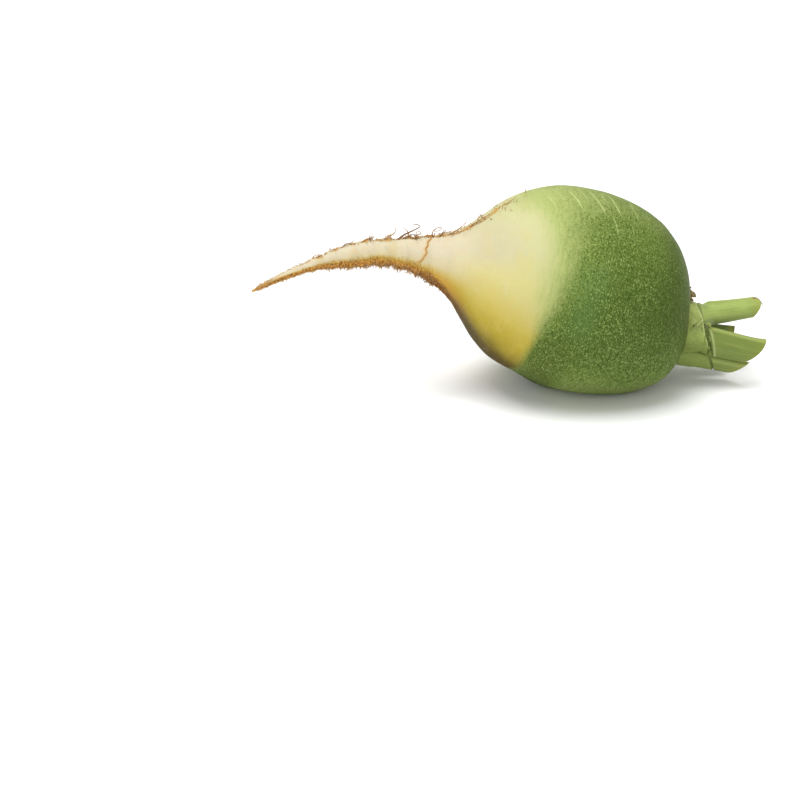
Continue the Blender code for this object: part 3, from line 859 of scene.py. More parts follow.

    # Both skins with the rough brown skin over them, pitted, and then the stains, and a dark ring at the
    # collar's foot that is partly a brown rim and partly painted shade
    edge = border + (streak - 0.5) * 7.0 + (cloud - 0.5) * 8.0 + (fine - 0.5) * 4.0
    halo = step(rust + (crumbs - 0.5) * 0.7, 0.08, 0.5)
    rusty = step(rust + (crumbs - 0.5) * 1.7, 0.46, 0.72)
    rough = step(rust + (crumbs - 0.5) * 1.1, 0.22, 0.6)
    dark = step(pits - rust * 0.05, 0.45, 0.36) * rough
    upper = step(up, 0.0, 6.0)
    neck = step(along, 144.0, 126.0) * step(up, 0.0, -8.0)
    stained = shader.field("stained") + (fine - 0.5) * 0.5
    soil = shader.field("soil") + (grain - 0.5) * 0.6
    skin = shader.layers(
        pale,
        (step(edge, -9.0, 7.0), green),
        (halo * (tail + high - tail * high) * 0.5, (182, 144, 66)),
        (rusty * 0.8, shader.mix(upper * 0.6, look.rust, (196, 154, 88))),
        (dark * (0.85 - upper * 0.3), (92, 56, 28)),
        (step(pits, 0.52, 0.6) * rough * 0.7, (214, 164, 90)),
        (neck * rough * 0.6, (82, 48, 24)),
        (step(stained, 0.1, 0.9) * 0.55, (190, 144, 62)),
        # The collar's foot: partly a brown rim, partly painted shade in the join
        (step(soil, 0.35, 1.0) * 0.75, (70, 58, 32)),
    )

    height = grain * 0.35 + fine * 0.15 + pale_marks * 0.3 + rough * (crumbs + pits) * 1.4
    roughness = look.roughness + rusty * 0.35 + (grain - 0.5) * 0.12
    return shader.finish(Base_Color=skin, Roughness=roughness, Normal=shader.bump(height, 0.3 * MM, 0.7),
                         Specular_IOR_Level=0.04, Subsurface_Weight=0.06,
                         Subsurface_Radius=(1.0, 0.8, 0.4), Subsurface_Scale=1.2 * MM)


def green_border(s, a):
    """How far a place lies inside the green skin, in millimetres; negative on the pale skin."""
    return GREEN_END + GREEN_REACH * np.clip(np.sin(a), 0.0, 1.0) ** 6 - s


def border_sharpness(a):
    """How much sharper the green's border is than along the top: it is sharpest low on the side."""
    return 1.0 + 1.9 * ease((0.15 - np.sin(a)) / 0.6)


def green_depth(s, a):
    """How deep the green is, 0 to 1: it deepens from the border, slowest along the top. It is paler along the
    very top, partly the skin's own and partly a painted highlight, and paler on the underside, which is
    painted bounce light.
    """
    inside = green_border(s, a)
    height = np.sin(a)
    top = np.clip(height, 0.0, 1.0)
    stretch = DEEPEN_LOW + DEEPEN_SIDE * ease((height + 0.6) / 1.2) + DEEPEN_TOP * top ** 8
    # Paler along the very top: partly the skin's own paler green, partly a painted highlight
    depth = ease((inside + 2.0) / stretch) * (1.0 - 0.56 * top ** 3)
    # Paler on the underside: painted bounce light from the floor
    below = ease((-height - 0.35) / 0.35) * ease((inside - 12.0) / 18.0)
    crown = 1.0 - 0.1 * ease((26.0 - s) / 18.0)
    return depth * (1.0 - 0.62 * below) * crown


def clinging_points():
    """The clinging rootlet's distances and angles, read smoothly through its points."""
    path = smooth_curve(CLINGING, np.linspace(0.0, chord_lengths(CLINGING)[-1], CLINGING_RINGS))
    return path[:, 0], np.radians(path[:, 1])


def clinging_share(s, a):
    """How near the clinging rootlet is, 0 to 1."""
    at, angle = clinging_points()
    share = np.zeros(np.broadcast_shapes(s.shape, a.shape))
    close = np.abs(s[:, 0] - at.mean()) < 12.0
    along = s[close][..., None] - at
    across = root_radius(s[close])[..., None] * angle_from(a[close][..., None], angle)
    share[close] = np.exp(-np.min(along ** 2 + across ** 2, axis=-1) / 0.9 ** 2)
    return share


def skin_fields(s, r, a):
    """The fields that the skin's material reads."""
    foot = bell(r, 17.5, 2.0) * (s < 1.5)
    reach = STAIN_REACH * (1.0 - 0.45 * ease((s - 152.0) / 30.0))
    return {
        "straight": np.stack([s, r * np.cos(a), r * np.sin(a)], axis=-1),
        "border": green_border(s, a) * border_sharpness(a),
        "depth": green_depth(s, a),
        "off_row": np.clip(np.abs(np.degrees(off_band(s, a))) / reach, 0.0, 1.0),
        "tail": ease((s - 106.0) / 26.0),
        "rust": rust_share(s, a),
        "stained": clinging_share(s, a),
        # A dark ring where the collar meets the root: partly a brown rim, partly painted shade in the join
        "soil": foot * 0.9,
    }


class RADISH_OT_root(Operator):
    """Build the root's skin"""

    bl_idname = "radish.build_root"
    bl_label = "Build the root"

    def execute(self, context):
        points, s, r, a = skin_surface()
        material = root_material(context.scene.radish_root)
        add_piece("radish_skin", points, skin_fields(s, r, a), material, "root_skin", "radish_root")
        return {"FINISHED"}


# Rootlets, bristles, stray hairs and fuzz: how many, how long, how thick, how deep they stand in the skin,
# and the rings and sides of their tubes
TUFT_SPREAD = 1.1
ROOTLET_RINGS = 15
ROOTLET_SIDES = 5
ROOTLET_SINK = 0.8
ROOTLET_RADII = (0.12, 0.30)
# The rings that a branch may grow from: the first, and the one after the last
BRANCH_RINGS = (5, 11)
STRAND_SIDES = 7
HAIR_SINK = 0.4
BRISTLES = 620
LOW_BRISTLES = 0.78
BRISTLE_LENGTH = (0.7, 2.2)
BRISTLE_RADII = (0.12, 0.28)
BRISTLE_RINGS = 8
BRISTLE_SIDES = 4
STRAY_HAIRS = 46
STRAY_LENGTH = (2.0, 5.5)
STRAY_RADII = (0.05, 0.1)
FUZZ = 1100
FUZZ_LENGTH = (0.5, 1.5)
FUZZ_RADII = (0.06, 0.12)
FUZZ_RINGS = 6
FUZZ_SIDES = 3
# Where the tail's pale hairs give way to the body's, as a place on x and a stretch
TAIL_SIDE = (-92.0, 16.0)


def skin_place(s, a, sink=0.0):
    """Points on the skin at distances and angles, with the skin's outward direction and that to the tail."""
    centre, along, side, upper = root_frames(s)
    out = np.cos(a)[:, None] * side + np.sin(a)[:, None] * upper
    height = np.diagonal(skin_relief(s[:, None], a[None, :]))
    radius = np.maximum(root_radius(s) + height, THINNEST_SKIN) - sink
    return centre + radius[:, None] * out, out, along


def random_directions(rng, count):
    """Directions drawn evenly from all round."""
    return unit(rng.normal(size=(count, 3)))


def hair_paths(rng, start, heading, length, bend, curl, turns, rings, lift=0.0):
    """Curved paths: straight ahead, pulled aside by the square of the way, with a growing sideways wave.

    The wave is a sine across the heading and a cosine across both, so that a hair winds like a loose curl.
    Where each hair is pulled to is drawn; its curl and its turns are drawn between two values.
    """
    pull = lift + bend * random_directions(rng, len(start))
    curl = rng.uniform(*curl, (len(start), 1, 1))
    turns = rng.uniform(*turns, (len(start), 1, 1))
    t = np.linspace(0.0, 1.0, rings)[None, :, None]
    first = unit(np.cross(heading, pull))[:, None, :]
    second = unit(np.cross(heading[:, None, :], first))
    phase = 2.0 * np.pi * turns * t
    wave = curl * t * (first * np.sin(phase) + second * (np.cos(phase) - 1.0))
    way = heading[:, None, :] * t + pull[:, None, :] * t * t + wave
    return start[:, None, :] + length[:, None, None] * way


def hair_tubes(paths, radii, sides):
    """Rings round each path, thinning to a third of its radius at the tip."""
    along = unit(np.gradient(paths, axis=1))
    reference = unit(np.cross(along[:, :1], along[:, -1:]) + (0.0, 1e-3, 2e-3))
    first = unit(np.cross(along, reference))
    second = np.cross(along, first)
    angles = round_angles(sides)[:, None]
    thin = np.linspace(1.0, 0.33, paths.shape[1])[None, :, None, None]
    ring = np.cos(angles) * first[:, :, None, :] + np.sin(angles) * second[:, :, None, :]
    return paths[:, :, None, :] + radii[:, None, None, None] * thin * ring


def tuft_rootlets(look, rng):
    """The tufts of the upper row: rootlets from about one place, and branches from the middle of each."""
    at, counts, lengths = TUFTS.T
    tuft = np.repeat(np.arange(len(TUFTS)), counts.astype(int))
    count = len(tuft)
    s = at[tuft] + rng.normal(0.0, TUFT_SPREAD, count)
    a = UPPER_ROW + rng.normal(0.0, 0.14, count)
    start, out, along = skin_place(s, a, ROOTLET_SINK)
    heading = unit(rng.uniform(0.25, 0.85, (count, 1)) * out + rng.normal(-0.8, 0.6, (count, 1)) * along
                   + 0.4 * rng.normal(size=(count, 1)) * np.cross(along, out))
    length = look.length / MM * lengths[tuft] * rng.uniform(0.45, 1.15, count)
    paths = hair_paths(rng, start, heading, length, 0.5, (0.06, 0.26), (0.7, 2.2), ROOTLET_RINGS)
    radii = rng.uniform(*ROOTLET_RADII, count)
    parent = np.repeat(np.arange(count), 2)
    knot = rng.integers(*BRANCH_RINGS, len(parent))
    fork = unit(heading[parent] + 0.9 * random_directions(rng, len(parent)))
    length = 0.45 * length[parent] * rng.uniform(0.4, 1.2, len(parent))
    start = paths[parent, knot]
    branches = hair_paths(rng, start, fork, length, 0.6, (0.05, 0.25), (0.5, 1.5), ROOTLET_RINGS)
    return np.concatenate([paths, branches]), np.concatenate([radii, 0.6 * radii[parent]])


def long_strands():
    """The longest rootlets: smooth curves through their points, laid over the plain skin of the upper row."""
    share = np.linspace(0.0, 1.0, STRAND_RINGS)
    paths = []
    for _, points in STRANDS:
        curve = curve_through(points, share)
        centre, _, side, upper = root_frames(curve[:, 0])
        radius = root_radius(curve[:, 0])
        a = (UPPER_ROW + curve[:, 2] / radius)[:, None]
        reach = (radius + curve[:, 1])[:, None]
        kinks = 0.12 * np.stack([lumps(curve, 0.9, 51 + k) for k in range(3)], axis=-1)
        paths.append(centre + reach * (np.cos(a) * side + np.sin(a) * upper) + kinks)
    return np.stack(paths), np.array([radius for radius, _ in STRANDS])


def bristle_rootlets(rng):
    """Short stiff rootlets, crowded along the lower row, and fewer along the upper."""
    low = rng.uniform(size=BRISTLES) < LOW_BRISTLES
    s = np.where(low, rng.triangular(121.0, 138.0, 214.0, BRISTLES), rng.uniform(99.0, 205.0, BRISTLES))
    row = np.where(low, LOWER_ROW + 0.04, UPPER_ROW)
    a = row + rng.normal(0.0, 0.2, BRISTLES) * np.where(low, 1.3, 0.8)
    start, out, along = skin_place(s, a, HAIR_SINK)
    heading = unit(out + 0.6 * random_directions(rng, BRISTLES) + 0.35 * along)
    length = rng.uniform(*BRISTLE_LENGTH, BRISTLES) * np.minimum(root_radius(s) / 6.0, 1.0)
    length = length + HAIR_SINK
    paths = hair_paths(rng, start, heading, length, 0.5, (0.0, 0.12), (0.3, 1.0), BRISTLE_RINGS)
    return paths, rng.uniform(*BRISTLE_RADII, BRISTLES)


def stray_hairs(rng):
    """Single long thin hairs anywhere along the tail."""
    s = rng.uniform(112.0, 218.0, STRAY_HAIRS)
    row = np.where(rng.uniform(size=STRAY_HAIRS) < 0.5, UPPER_ROW, LOWER_ROW)
    a = row + rng.normal(0.0, 0.3, STRAY_HAIRS)
    start, out, _ = skin_place(s, a, HAIR_SINK)
    heading = unit(out + 0.7 * random_directions(rng, STRAY_HAIRS))
    length = rng.uniform(*STRAY_LENGTH, STRAY_HAIRS)
    paths = hair_paths(rng, start, heading, length, 0.8, (0.05, 0.25), (0.4, 1.6), ROOTLET_RINGS)
    return paths, rng.uniform(*STRAY_RADII, STRAY_HAIRS)


def fuzz_hairs(rng):
    """Torn fibres that lie over the rough brown skin."""
    s = rng.uniform(118.0, 221.0, 6 * FUZZ)
    a = rng.uniform(0.0, 2.0 * np.pi, 6 * FUZZ)
    keep = rng.uniform(size=6 * FUZZ) < rust_share(s, a) ** 1.5
    s, a = s[keep][:FUZZ], a[keep][:FUZZ]
    count = len(s)
    start, out, along = skin_place(s, a, 0.12)
    heading = unit(0.35 * out + random_directions(rng, count) * 0.8 + 0.3 * along)
    length = rng.uniform(*FUZZ_LENGTH, count)
    paths = hair_paths(rng, start, heading, length, 0.3, (0.0, 0.1), (0.3, 0.8), FUZZ_RINGS, 0.4 * out)
    return paths, rng.uniform(*FUZZ_RADII, count)


def clinging_rootlet():
    """The rootlet that clings to the neck: a path along the skin, and its radius."""
    at, angle = clinging_points()
    points, _, _ = skin_place(at, angle, -0.1)
    return points[None], np.array([CLINGING_RADIUS])


def rootlet_material(look):
    """Dried rootlets, from straw to dark brown, darker where a hair's own draw says so."""
    shader = Shader("rootlets")
    draw = shader.field("draw")
    mottle = shader.noise(shader.place(), 900.0, 2.0)
    skin = shader.layers(
        (196, 158, 104),
        (shader.step(draw, 0.2, 0.9), look.colour),
        (shader.step(draw, 0.75, 1.0) * 0.7, (78, 54, 34)),
        (shader.field("tip") * 0.45, (110, 84, 60)),
        (shader.step(mottle, 0.5, 0.7) * 0.3, (206, 176, 130)),
    )
    return shader.finish(Base_Color=skin, Roughness=0.7 + (mottle - 0.5) * 0.2, Specular_IOR_Level=0.2)


class RADISH_OT_rootlets(Operator):
    """Grow the rootlets along the root's two rows"""

    bl_idname = "radish.grow_rootlets"
    bl_label = "Grow the rootlets"

    def execute(self, context):
        look = context.scene.radish_rootlets
        rng = np.random.default_rng(look.seed)
        groups = {
            "rootlet_tufts": (*tuft_rootlets(look, rng), ROOTLET_SIDES),
            "long_rootlets": (*long_strands(), STRAND_SIDES),
            "rootlet_bristles": (*bristle_rootlets(rng), BRISTLE_SIDES),
            "stray_root_hairs": (*stray_hairs(rng), BRISTLE_SIDES),
            "root_fuzz": (*fuzz_hairs(rng), FUZZ_SIDES),
            "clinging_rootlet": (*clinging_rootlet(), CLINGING_SIDES),
        }
        material = rootlet_material(look)
        for name, (paths, radii, sides) in groups.items():
            grids = hair_tubes(paths, radii, sides)
            shape = grids.shape[:3]
            draw = rng.uniform(size=shape[0])
            # Short hairs are paler along the tail than on the body, and the long ones are dark
            if name in ("rootlet_bristles", "root_fuzz"):
                draw = draw * (0.45 + 0.55 * ease((paths[:, 0, 0] - TAIL_SIDE[0]) / TAIL_SIDE[1]))
            if name in ("long_rootlets", "clinging_rootlet"):
                draw = 0.7 + 0.3 * draw
            draw = np.broadcast_to(draw[:, None, None], shape)
            tip = np.broadcast_to(np.linspace(0.0, 1.0, shape[1])[None, :, None], shape)
            add_piece(name, grids, {"draw": draw, "tip": tip}, material, "root_skin")
        return {"FINISHED"}


def leaf_material(look, name, shade, tinge):
    """A juicy stalk: ribs along it, darker edges, a pale rim at its crease, painted shade in the crease's
    hollow and over the lower and rear stalks, and paler flesh where cut.
    """
    shader = Shader(name)
    step, noise, field = shader.step, shader.noise, shader.field
    run = shader.field_vector("run")
    place = shader.place()
    cut, base = field("cut"), field("base")
    ribs = noise(run, (0.03, 1.3, 1.3), 3.0, 0.55)
    hair = noise(run, (0.08, 4.0, 4.0), 2.0, 0.6)
    blotch = noise(run, (0.09, 0.2, 0.2))
    grain = noise(place, 1400.0, 3.0, 0.6)
    pith = noise(place, 900.0, 4.0, 0.6)
    dots = shader.spots(shader.scaled(run, (0.6, 1.2, 1.2)), 1.0, 0.4)
    clasp = shader.layers(
        look.base,
        (step(grain, 0.4, 0.66) * 0.4, look.pale),
        (step(grain, 0.5, 0.36) * 0.35, look.shade),
        # Painted shade on the bases of the lower and rear stalks
        (shade ** 2.0, look.shade),
    )
    flesh = shader.layers(
        look.flesh,
        (step(pith, 0.4, 0.7) * 0.5, look.green),
        (shader.spots(place, 620.0, 0.6) * 0.6, look.shade),
        (field("cut_edge") * 0.6, look.green),
    )
    body = shader.layers(
        look.green,
        # Painted shade: the lower and rear stalks are darker
        (shade, look.shade),
        (step(blotch, 0.36, 0.68) * 0.34, look.shade),
        (step(blotch, 0.56, 0.72) * shade * 0.3, (96, 124, 74)),
        (step(ribs, 0.5, 0.7) * 0.22, look.pale),
        (step(hair, 0.54, 0.4) * 0.14, look.shade),
        (field("edge") * 0.5, look.shade),
        (field("lit_edge") * 0.55, look.pale),
        (dots * 0.2, look.pale),
        (tinge * field("near_cut"), (150, 146, 58)),
        (base * 0.85, clasp),
        (field("rim") * (0.25 + blotch * 0.6), look.rim),
        # Painted shade in the hollow of the crease
        (field("hollow") * 0.55, (66, 76, 32)),
        (cut, flesh),
    )
    height = ribs * 0.6 + hair * 0.15 + dots * 0.2 + grain * (base * 0.5 + 0.1) + cut * pith * 0.8
    return shader.finish(Base_Color=body, Roughness=look.roughness + (ribs - 0.5) * 0.15 + base * 0.12,
                         Normal=shader.bump(height, 0.2 * MM, 0.5), Specular_IOR_Level=0.2,
                         Subsurface_Weight=0.12, Subsurface_Radius=LEAF_SCATTER,
                         Subsurface_Scale=1.2 * MM)


# Each stalk's share of the darker green, which is painted shade: the upper stalk stays light and those below
# and behind it are darker; and how far its cut end is tinged
LEAF_TONES = {
    "upper": (0.0, 0.34), "middle": (0.8, 0.15), "lower": (0.74, 0.25), "rear_high": (1.0, 0.5),
    "rear_low": (0.7, 0.3),
}
# How far light goes on inside a leaf, in red, green and blue
LEAF_SCATTER = (0.9, 1.0, 0.35)
LEAF_RINGS = 150
LEAF_POINTS = 120
LEAF_MERGE = 0.002
CUT_RINGS = 9
CUT_ROUNDING = 0.04
# How far the upper corner of each cut flares
CUT_FLARE = 0.8
RIB_HEIGHT = 0.05
RIB_COUNT = 22
BASE_LUMPS = ((3.2, 0.22), (1.3, 0.10))

# The crease where a stalk leaves the collar: how far out of the crown it lies, and how much lower it is on
# the crown's upper side
CREASE_RISE = 12.0
CREASE_TILT = 6.0


def crease_rise(angle):
    """How far out of the crown the crease lies, at angles round the crown from its upper side."""
    return CREASE_RISE - CREASE_TILT * np.cos(angle)


def crown_place(rise, angle, radius):
    """Points by their height out of the crown, their angle from its upper side and their radius."""
    centre, facing, upper, side = crown_frame()
    ring = np.cos(angle)[..., None] * upper + np.sin(angle)[..., None] * side
    return centre + rise[..., None] * facing + radius[..., None] * ring


def stalk_section(width, thickness, channel, theta):
    """A stalk's section, a crescent: across is a cosine, and both faces rise as the sine, one less than the
    other, rounded where they meet at the edges. Returns across and outward."""
    swell = np.abs(np.sin(theta))
    rounding = 0.5 * EDGE_THICKNESS * swell ** 0.35
    back = rounding + (thickness - channel) * swell
    front = channel * swell - rounding
    return 0.5 * width * np.cos(theta), np.where(np.sin(theta) >= 0.0, back, front)


def collar_section(start, end, theta):
    """The part of the collar that a base clasps: a box with round corners, bent round the crown's middle."""
    cosine, sine = np.cos(theta), np.sin(theta)
    box_cosine = np.sign(cosine) * np.abs(cosine) ** 0.6
    angle = 0.5 * (start + end) - 0.5 * (end - start) * box_cosine
    bulge = 0.7 * (1.0 - box_cosine ** 2) - 0.3
    half = 0.5 * (COLLAR_OUTER - COLLAR_INNER)
    radius = COLLAR_INNER + half * (1.0 + np.sign(sine) * np.abs(sine) ** 0.3)
    radius = radius + bulge * ease(sine * 2.0)
    return radius * np.sin(angle), radius * np.cos(angle)


def leaf_path(foot, facing, tip, t):
    """A curve that leaves the crown squarely and arrives at the cut end: four Bezier points."""
    reach = np.linalg.norm(tip - foot)
    leave = foot + facing * STALK_LEAVE * reach
    arrive = tip - unit(tip - foot) * STALK_ARRIVE * reach
    return (1 - t) ** 3 * foot + 3 * t * (1 - t) ** 2 * leave + 3 * t * t * (1 - t) * arrive + t ** 3 * tip


def crease_shares(past, width):
    """Along a stalk, past its crease: how far into the hollow a place is, and how near the curled rim."""
    hollow = ease((past + 0.15) / 0.5) * (1.0 - ease((past - width) / 1.1))
    return hollow, bell(past, width + 1.4, 0.8)


def leaf_surface(name):
    """A leaf from its clasping base to its cut end, as rings round a curved path.

    Each ring passes from the collar's section to the stalk's as it rises off the crown. The last rings draw
    the cut ring in to its own middle line, which makes the cut face.
    """
    clasp, stand, stand_radius, width, thickness, channel, turn, slant, taper, bulge, tip = LEAVES[name]
    depth, hollow_width, rim_height, lean = CREASES[name]
    centre, facing, upper, side = crown_frame()
    theta = round_angles(LEAF_POINTS)[None, :]
    t = np.linspace(0.0, 1.0, LEAF_RINGS)[:, None]
    stand = math.radians(stand)
    out = math.cos(stand) * upper + math.sin(stand) * side
    foot = centre + out * stand_radius - facing * FOOT_GAP
    path = leaf_path(foot, facing, np.asarray(tip), t)
    along = unit(np.gradient(path, axis=0))
    across = unit(np.cross(along, out))
    outward = np.cross(across, along)
    roll = math.radians(turn)
    across, outward = (across * math.cos(roll) + outward * math.sin(roll),
                       outward * math.cos(roll) - across * math.sin(roll))
    x, y = stalk_section(width, thickness, channel, theta)
    ribbed = RIB_HEIGHT * np.cos(RIB_COUNT * theta) * ease(np.sin(theta) * 3.0)
    narrow = 1.0 - taper * t[:, :, None]
    offset = narrow * section(x, y + ribbed, across, outward)
    offset = offset - outward[:, None, :] * STALK_SET_IN * thickness
    rounded = bulge * (1.0 - np.cos(theta) ** 2)[..., None] - 0.5 * bulge
    flare = CUT_FLARE * t ** 10 * ease(-np.cos(theta) * 2.0 - 1.0)
    offset = offset - flare[..., None] * across[:, None, :]
    offset = offset + (t ** 3)[:, :, None] * (slant * offset[..., 2:] + rounded) * along[:, None, :]
    rise = (path - centre) @ facing
    base_x, base_y = collar_section(math.radians(clasp[0]), math.radians(clasp[1]), theta)
    collar = centre + rise[:, None, None] * facing + base_x[..., None] * side + base_y[..., None] * upper
    share = ease((rise - COLLAR_BASE) / (COLLAR_HEIGHT - COLLAR_BASE))[:, None, None]
    points = collar + (path[:, None, :] + offset - collar) * share

    flat = points - centre
    height = flat @ facing
    radial = flat - height[..., None] * facing
    angle = np.arctan2(radial @ side, radial @ upper)
    past = height - crease_rise(angle) - lean * (math.radians(clasp[1]) - angle)
    outer = ease(np.sin(theta) * 2.5)
    hollow, rim = crease_shares(past, hollow_width)
    rough = sum(amount * lumps(points, size, 20 + seed) for seed, (size, amount) in enumerate(BASE_LUMPS))
    relief = rim_height * rim - depth * hollow + rough * ease(0.5 - past / 2.0)
    points = points + (relief * outer)[..., None] * unit(radial)

    ring = points[-1]
    mirror = ring[-np.arange(LEAF_POINTS) % LEAF_POINTS]
    inset = np.linspace(0.0, 1.0, CUT_RINGS)[:, None, None]
    inset[0] = CUT_ROUNDING
    dish = (0.4 * ease(inset / 0.5)) * along[-1]
    face = ring + 0.5 * inset * (mirror - ring) - dish
    surface = np.concatenate([points, face])

    length = chord_lengths(path)
    run_along = np.append(length, np.full(CUT_RINGS, length[-1]))[:, None]
    cut_edge = np.append(np.zeros(LEAF_RINGS), ease(1.0 - inset[:, 0, 0] / 0.3))[:, None]
    blank = np.zeros((CUT_RINGS, LEAF_POINTS))
    spread = np.zeros((LEAF_RINGS + CUT_RINGS, LEAF_POINTS))
    fields = {
        "run": np.stack([run_along + spread, x + spread, y + spread], axis=-1),
        "cut": (np.arange(LEAF_RINGS + CUT_RINGS) >= LEAF_RINGS)[:, None] + spread,
        "cut_edge": cut_edge + spread,
        "base": np.concatenate([ease(0.5 - past / 1.5), blank]),
        # Where the material paints shade in the crease's hollow
        "hollow": np.concatenate([hollow * outer, blank]),
        "rim": np.concatenate([rim * outer * min(2.0 * rim_height, 1.0), blank]),
        "edge": bell(np.cos(theta), 1.0, 0.25) + spread,
        "lit_edge": bell(np.cos(theta), -0.86, 0.12) * ease(np.sin(theta) * 4.0) + spread,
        "near_cut": ease((run_along - run_along[-1] + 6.0) / 6.0) + spread,
    }
    return surface, fields


def strip_surface(path, across, width, thickness, sides=14):
    """A thin strip: a flat oval ring at each point of a path, by half widths and half thicknesses there."""
    along = unit(np.gradient(path, axis=0))
    across = unit(across - (across * along).sum(axis=-1, keepdims=True) * along)
    face = np.cross(along, across)
    angles = round_angles(sides)[None, :, None]
    wide = width[:, None, None] * np.cos(angles) * across[:, None, :]
    return path[:, None, :] + wide + thickness[:, None, None] * np.sin(angles) * face[:, None, :]


# The torn sheath of an outer leaf on the collar's near side: the angles it spans, in degrees, how much each
# end leans towards the rim, its radius and thickness
SHEATH_SPAN = (-107.0, 27.0)
SHEATH_LEAN = (13.0, -8.0)
SHEATH_RADIUS = 16.55
SHEATH_THICKNESS = 0.75
SHEATH_STEPS = 190
SHEATH_POINTS = 56
# A fold in it: a place on it (angle in degrees, rise) and how much the fold rises with each degree
FOLD_AT = (-40.0, 8.0)
FOLD_SLOPE = 0.235


def sheath_surface():
    """The sheath, as thin upright rings that follow each other round the crown.

    A ring goes up the inner side from the foot, over the rim and down the outer side: its height is a cosine
    and its thickness a flattened sine. The rim keeps to the crease and is torn in small steps. Folds and
    crinkles stand out where the sheath is pinched between the upper and the middle stalk.
    """
    share = np.linspace(0.0, 1.0, SHEATH_STEPS)[:, None]
    theta = round_angles(SHEATH_POINTS)[None, :]
    climb = 0.5 - 0.5 * np.cos(theta)
    lean = SHEATH_LEAN[0] * (1.0 - share) + SHEATH_LEAN[1] * share
    degrees = SHEATH_SPAN[0] + (SHEATH_SPAN[1] - SHEATH_SPAN[0]) * share + lean * climb
    angle = np.radians(degrees)
    torn = 0.3 * np.sin(0.13 * degrees) + 0.10 * np.sin(0.31 * degrees + 1.0)
    rim = crease_rise(angle) + 0.2 + torn * climb
    rise = -0.6 + (rim + 0.6) * climb
    ends = ease(share / 0.05) * ease((1.0 - share) / 0.06)
    thick = SHEATH_THICKNESS * (0.3 + 0.7 * ends) * (1.0 - 0.45 * climb)
    radius = SHEATH_RADIUS + 0.5 * thick * np.sign(np.sin(theta)) * np.abs(np.sin(theta)) ** 0.5
    radius = radius + 0.55 * bell(degrees, -20.0, 26.0) * (1.0 - climb) - 0.25 * climb
    flat = np.stack([rise, radius * angle, 0.0 * angle], axis=-1)
    fold = rise - FOLD_AT[1] - FOLD_SLOPE * (degrees - FOLD_AT[0])
    pinch = bell(degrees, -52.0, 12.0) * window(rise, (0.5, 3.0), (11.0, 8.5))
    crinkle = 1.0 - 2.0 * np.abs(lumps(flat, 1.5, 31)) + 0.5 * lumps(flat, 0.7, 32)
    crest = bell(fold, 0.0, 0.6) - 0.7 * bell(fold, -1.1, 0.7)
    outer = ease(np.sin(theta) * 3.0)
    radius = radius + outer * (0.7 * pinch * crest + 0.4 * pinch * crinkle + 0.16 * lumps(flat, 2.4, 33))
    creased = window(degrees, (-106.0, -98.0), (-62.0, -74.0)) * ease((4.0 - rise) / 4.0)
    radius = radius + outer * 0.12 * creased * np.sin(rise * 4.2 + 2.0 * lumps(flat, 3.0, 34))
    near_rim = bell(rise, rim, 0.9) * ease((degrees + 96.0) / 20.0)
    fields = {
        "run": np.stack([rise, radius * angle, 0.0 * angle], axis=-1),
        "rim": near_rim,
        # Painted highlight on the fold crests and painted shade in the troughs
        "crest": np.clip(pinch * (crest + 0.6 * crinkle), 0.0, 1.0),
        "trough": np.clip(-pinch * (crest + 0.8 * crinkle), 0.0, 1.0),
        # The foot, browned by dirt and by painted shade in the join
        "foot": ease((1.6 - rise) / 2.0),
        "upper": ease((degrees + 48.0) / 26.0),
        # Painted shade: darker low down
        "low": ease((-72.0 - degrees) / 22.0),
    }
    return crown_place(rise, angle, radius), fields


def sheath_material(look):
    """A clasping base: mealy light green, pale along its torn rim, with a painted highlight on its fold
    crests and painted shade in the fold troughs and low down, and brown at its foot, partly dirt and partly
    painted shade.
    """
    shader = Shader("leaf_sheath")
    step, field = shader.step, shader.field
    run = shader.field_vector("run")
    grain = shader.noise(run, 1.6, 4.0, 0.65)
    lines = shader.noise(run, (0.12, 1.6, 1.0), 3.0, 0.6)
    cloud = shader.noise(run, 0.22, 2.0)
    # Brown at the foot where the sheath meets the root: partly dirt, partly painted shade
    foot_dirt_and_shade = step(field("foot") + (grain - 0.5) * 0.7, 0.45, 1.0)
    body = shader.layers(
        look.base,
        (field("upper"), look.pale),
        (step(cloud, 0.4, 0.68) * 0.3, look.shade),
        # Painted shade low down
        (field("low") * 0.8, look.shade),
        (step(grain, 0.5, 0.34) * 0.4, look.shade),
        (step(grain, 0.54, 0.7) * 0.3, look.rim),
        (step(lines, 0.54, 0.7) * 0.25, look.rim),
        (field("rim") * 0.7, look.rim),
        # Painted highlight on the fold crests, painted shade in the fold troughs
        (field("crest") * 0.7, (182, 188, 132)),
        (field("trough") * 0.8, (62, 74, 30)),
        (foot_dirt_and_shade * 0.7, (84, 72, 38)),
    )
    height = grain * 0.6 + lines * 0.4
    return shader.finish(Base_Color=body, Roughness=0.58 + (grain - 0.5) * 0.2, Specular_IOR_Level=0.15,
                         Normal=shader.bump(height, 0.2 * MM, 0.6), Subsurface_Weight=0.1,
                         Subsurface_Radius=LEAF_SCATTER, Subsurface_Scale=1.0 * MM)


